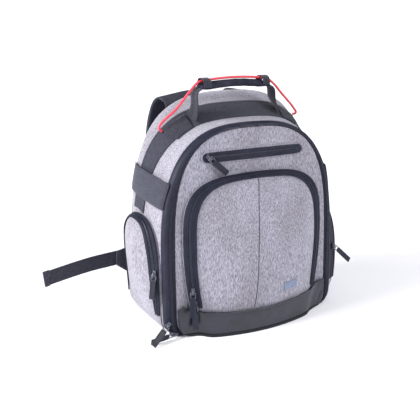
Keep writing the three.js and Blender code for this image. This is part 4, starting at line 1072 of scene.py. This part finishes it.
for side, word in ((-1, "left"), (1, "right")):
    tabEdges = [(side * 190, 84, 76), (side * 137, 84, 34)], [(side * 190, 84, 100), (side * 137, 84, 110)]
    for name, lines, node, thread, slotName in (
        ("elasticTacks", elasticEnds(side), "elastic", "darkThread", "elastic_band"),
        ("waistStitches", strapEnds(side), "waist_strap", "greyThread", "webbing"),
        ("tabStitches", tabEdges, "wing", "darkThread", "band_cloth"),
    ):
        sewnLine(f"{name}_{word}", lines, surfaces[f"{node}_{word}"], thread, size=0.8)
endRows = [[(x, 78, z) for z in (60, 66, 72, 80)] for x in (-321, -318)]
sewnLine("waistEndStitches", endRows, surfaces["waist_strap_left"], "greyThread", size=0.8)
print("strap stitches made")

# the free end of the left waist strap is folded over and sewn down; the fold is the same webbing, given the paler
# band cloth as painted light
strapFold = {"from": -317.5, "lift": 0.35, "thick": 0.9}


def makeStrapFold():
    work = bmesh.new()
    work.from_mesh(made["waist_strap_left"].data)
    beyond = [face for face in work.faces if face.calc_center_median().x > strapFold["from"] * mm]
    bmesh.ops.delete(work, geom=beyond, context="FACES")
    for vertex in work.verts:
        vertex.co += vertex.normal * strapFold["lift"] * mm
    mesh = bpy.data.meshes.new("strapFold")
    work.to_mesh(mesh)
    work.free()
    piece = bpy.data.objects.new("strapFold", mesh)
    scene.collection.objects.link(piece)
    mesh.materials.clear()
    # painted light: the paler band cloth makes the fold lighter than the strap
    mesh.materials.append(finishes["band"])
    applyModifier(piece, "SOLIDIFY", {"thickness": strapFold["thick"] * mm, "offset": 1})
    return dress(piece, [])


makeStrapFold()


# plain patch on the pocket
plainPatch = {"centre": (55.3, -100.4, 68.6), "width": 31, "height": 14, "thick": 0.7}


def makePlainPatch():
    bpy.ops.object.select_all(action="DESELECT")
    bpy.ops.mesh.primitive_grid_add(x_subdivisions=12, y_subdivisions=6, size=1, location=(0, 0, 0))
    piece = bpy.context.object
    piece.name = "plainPatch"
    surface = surfaces["front_pocket"]
    middle = Vector(plainPatch["centre"]) * mm
    spot, out, _, _ = surface.find_nearest(middle)
    across = Vector((0, 0, 1)).cross(out).normalized()
    up = out.cross(across)
    width, height = plainPatch["width"] * mm, plainPatch["height"] * mm
    for vertex in piece.data.vertices:
        flat = spot + across * vertex.co.x * width + up * vertex.co.y * height
        place, normal, _, _ = surface.find_nearest(flat)
        vertex.co = place + normal * 0.25 * mm
    piece.data.materials.append(finishes["patch"])
    applyModifier(piece, "SOLIDIFY", {"thickness": plainPatch["thick"] * mm, "offset": 1})
    applyModifier(piece, "BEVEL", {"width": 0.2 * mm, "segments": 2, "limit_method": "ANGLE"})
    piece.data.shade_smooth()
    return dress(piece, [])


makePlainPatch()


# zip sliders and pulls
sliderForm = {"barHeight": 4.0, "longer": 1.12, "wider": 1.05}
pullForm = {"length": 41, "width": 10, "thick": 2.0, "window": 9.4, "wire": 0.85}


def box(name, low, high, bevel, finish, segments=2):
    bpy.ops.object.select_all(action="DESELECT")
    centre = [(a + b) / 2 * mm for a, b in zip(low, high)]
    bpy.ops.mesh.primitive_cube_add(size=1, location=centre)
    piece = bpy.context.object
    piece.name = name
    piece.scale = [(b - a) * mm for a, b in zip(low, high)]
    bpy.ops.object.transform_apply(location=True, rotation=True, scale=True)
    piece.data.materials.append(finishes[finish])
    if bevel:
        applyModifier(piece, "BEVEL", {"width": bevel * mm, "segments": segments, "limit_method": "ANGLE"})
    return piece


def makeSliderModel():
    # body with a Y-shaped nose, two cheeks and an arched bridge, along X, off the tape along Z
    base = box("sliderBase", (-6.2, -4.3, 0.1), (6.2, 4.3, 2.3), 0, "zinc")
    onlySelect(base)
    bpy.ops.object.mode_set(mode="EDIT")
    work = bmesh.from_edit_mesh(base.data)
    for x in (-3.4, -0.6, 2.4):
        cutAcross(work, (x * mm, 0, 0), (1, 0, 0))
    for vertex in work.verts:
        x = vertex.co.x / mm
        if x < -5:
            vertex.co.y *= 0.98
            vertex.co.z *= 0.7
        elif x < -3:
            vertex.co.y *= 0.9
            vertex.co.z *= 0.8
        elif x < 0:
            vertex.co.y *= 0.76
        elif x < 3:
            vertex.co.y *= 0.66
        else:
            vertex.co.y *= 0.6
    bmesh.update_edit_mesh(base.data)
    bpy.ops.object.mode_set(mode="OBJECT")
    applyModifier(base, "BEVEL", {"width": 0.5 * mm, "segments": 3, "limit_method": "ANGLE"})
    parts = [base]
    for sign in (-1, 1):
        wing = box("sliderWing", (-6.0, sign * 1.9 - 0.75, 1.7), (-1.8, sign * 1.9 + 0.75, 2.7), 0.35, "zinc")
        parts.append(wing)
    parts.append(box("sliderNose", (1.4, -1.6, 2.1), (5.6, 1.6, 2.9), 0.35, "zinc"))
    rise = [(-3.9, 2.0), (-3.9, 4.4), (-2.9, 6.1), (0, 6.5), (2.9, 6.1), (3.9, 4.4), (3.9, 2.0)]
    arch = smoothLine([Vector((x, 0, z)) * mm for x, z in rise], 5)
    bridge = tubeAlong("sliderBridge", arch, 0.62 * mm, 10, "zinc")
    for vertex in bridge.data.vertices:
        vertex.co.y *= 1.75
    parts.append(bridge)
    slider = join(parts, "sliderModel")
    slider.data.transform(Matrix.Diagonal((sliderForm["longer"], sliderForm["wider"], 1, 1)))
    return slider


def makePullModel():
    # wire link round the window, and the moulded tab with a raised border, along X
    f = pullForm
    half = f["width"] / 2 - 1.1
    bends = [(0, 0), (0, half - 1.4), (0.9, half - 0.1), (3, half), (7, half), (11, half - 0.6)]
    link = smoothLine([Vector((x, y, 0)) * mm for x, y in bends], 5)
    sides = [tubeAlong("linkSide", [Vector((p.x, p.y * sign, p.z)) for p in link], f["wire"] * mm, 10, "zinc")
             for sign in (1, -1)]
    metal = join(sides, "pullLink")
    low, high = (f["window"], -f["width"] / 2, -f["thick"] / 2), (f["length"], f["width"] / 2, f["thick"] / 2)
    tab = box("pullTab", low, high, 0, "rubber")
    onlySelect(tab)
    bpy.ops.object.mode_set(mode="EDIT")
    bpy.ops.mesh.select_all(action="DESELECT")
    bpy.ops.mesh.select_mode(type="FACE")
    work = bmesh.from_edit_mesh(tab.data)
    for face in work.faces:
        face.select = abs(face.normal.z) > 0.9
    bmesh.update_edit_mesh(tab.data)
    bpy.ops.mesh.inset(thickness=1.2 * mm, use_individual=True)
    bpy.ops.mesh.inset(thickness=0.3 * mm, depth=-0.35 * mm, use_individual=True)
    bpy.ops.object.mode_set(mode="OBJECT")
    applyModifier(tab, "BEVEL", {"width": 0.35 * mm, "segments": 2, "limit_method": "ANGLE"})
    neck = box("pullNeck", (7.6, -2.5, -1.25), (11.5, 2.5, 1.25), 0.5, "rubber")
    ridges = [box("pullRidge", (x, -2.2, -1.02), (x + 0.8, 2.2, 1.02), 0.2, "rubber")
              for x in (33.5, 35.3, 37.1)]
    return metal, join([tab, neck] + ridges, "pullTabModel")


def placedCopy(model, name, matrix):
    piece = model.copy()
    piece.data = model.data.copy()
    piece.name = name
    piece.data.name = name
    scene.collection.objects.link(piece)
    piece.data.transform(matrix)
    return piece


def frameOf(origin, along, up):
    side = up.cross(along).normalized()
    along = side.cross(up).normalized()
    return Matrix.Translation(origin) @ Matrix((along, side, up)).transposed().to_4x4()


def sliderSeat(name, pivot, axis):
    # up is the way the slider's flat base faces; the pull hangs on the far side of the middle
    mesh = frame["nodes"][f"slider_{name}"].data
    faces = {}
    for polygon in mesh.polygons:
        key = tuple(round(c, 2) for c in polygon.normal)
        faces[key] = faces.get(key, 0) + polygon.area
    flat = [key for key in faces if abs(Vector(key).dot(axis)) < 0.1]
    up = Vector(max(flat, key=lambda key: faces[key])).normalized()
    heights = [v.co.dot(up) for v in mesh.vertices]
    if pivot.dot(up) < (min(heights) + max(heights)) / 2:
        up = -up
        heights = [-h for h in heights]
    up = (up - axis * up.dot(axis)).normalized()
    return up, pivot - up * sliderForm["barHeight"] * mm


sliderModel = makeSliderModel()
linkModel, tabModel = makePullModel()
for joint in frame["joints"]:
    pullNode = frame["record"]["behaviour"]["bodies"][joint["child"]][0]
    name = pullNode.replace("pull_", "")
    pivot, axis = Vector(joint["pos_m"]), Vector(joint["axis"]).normalized()
    low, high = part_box(pullNode)
    toward = (low + high) / 2 - pivot
    toward = (toward - axis * toward.dot(axis)).normalized()
    up, foot = sliderSeat(name, pivot, axis)
    along = (toward - up * toward.dot(up)).normalized()
    slider = placedCopy(sliderModel, f"slider_{name}_metal", frameOf(foot, -along, up))
    dress(slider, [f"slider_{name}"])
    face = toward.cross(-axis).normalized()
    place = frameOf(pivot, toward, face)
    tab = placedCopy(tabModel, f"pull_{name}_tab", place)
    dress(tab, [pullNode], joint["child"])
    link = placedCopy(linkModel, f"pull_{name}_link", place)
    dress(link, [], joint["child"])
for model in (sliderModel, linkModel, tabModel):
    bpy.data.objects.remove(model)
print("sliders and pulls made")


# ladder locks
def hardCopy(node, name, finish, width):
    piece = cleanCopy(node, name, finish, 1)
    applyModifier(piece, "BEVEL", {"width": width * mm, "segments": 2, "limit_method": "ANGLE",
                                   "angle_limit": math.radians(40)})
    onlySelect(piece)
    bpy.ops.object.shade_smooth_by_angle(angle=math.radians(40))
    return dress(piece, [node])


for word in ("left", "right"):
    hardCopy(f"ladder_lock_{word}", f"ladderLock_{word}", "acetal", 0.7)
print("ladder locks made")


# floor and light
studio = {"ambient": 0.54, "nearGlow": 0.05, "farGlow": 0.55}


def makeStage():
    bpy.ops.object.select_all(action="DESELECT")
    bpy.ops.mesh.primitive_plane_add(size=60, location=(0, 0, 0))
    floor = bpy.context.object
    floor.name = "studioFloor"
    material, tree, shader, place = startMaterial("paintedFloor", {
        "Roughness": 0.85, "Specular IOR Level": 0.1, "Base Color": hexColour("#fbfbfe"),
        "Emission Color": hexColour("#fbfbff"),
    })
    # far from the bag the floor glows up to the backdrop's white, near it the shadow stays
    reach = addNode(tree, "ShaderNodeVectorMath", {"operation": "LENGTH"}, {0: place.outputs["Object"]})
    spread = {"From Min": 0.35, "From Max": 2.2, "To Min": studio["nearGlow"], "To Max": studio["farGlow"]}
    glow = addNode(tree, "ShaderNodeMapRange", spread, {"Value": reach.outputs["Value"]})
    tree.links.new(glow.outputs[0], shader.inputs["Emission Strength"])
    floor.data.materials.append(material)
    floor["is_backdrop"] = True
    world = bpy.data.worlds.new("studio")
    world.use_nodes = True
    # the backdrop is seen white, but lights the bag less than it shows
    tree = world.node_tree
    sky = tree.nodes["Background"]
    sky.inputs[0].default_value = hexColour("#fafaff")
    seen = addNode(tree, "ShaderNodeLightPath")
    strength = addNode(tree, "ShaderNodeMapRange", {"To Min": studio["ambient"], "To Max": 1.0},
                       {"Value": seen.outputs["Is Camera Ray"]})
    tree.links.new(strength.outputs[0], sky.inputs[1])
    scene.world = world
    lamps = {
        "keyLamp": {"place": (-2.2, 0.3, 1.25), "size": 1.0, "power": 88, "colour": (1, 0.99, 0.98)},
        "frontLamp": {"place": (1.2, -1.8, 2.0), "size": 1.0, "power": 46, "colour": (0.98, 0.98, 1)},
    }
    for name, lamp in lamps.items():
        light = bpy.data.lights.new(name, "AREA")
        light.size = lamp["size"]
        light.energy = lamp["power"]
        light.color = lamp["colour"]
        holder = bpy.data.objects.new(name, light)
        scene.collection.objects.link(holder)
        holder.location = lamp["place"]
        aim = Vector((0, 0, 0.2)) - Vector(lamp["place"])
        holder.rotation_euler = aim.to_track_quat("-Z", "Y").to_euler()
    scene.view_settings.view_transform = "Standard"


makeStage()

low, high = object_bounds()
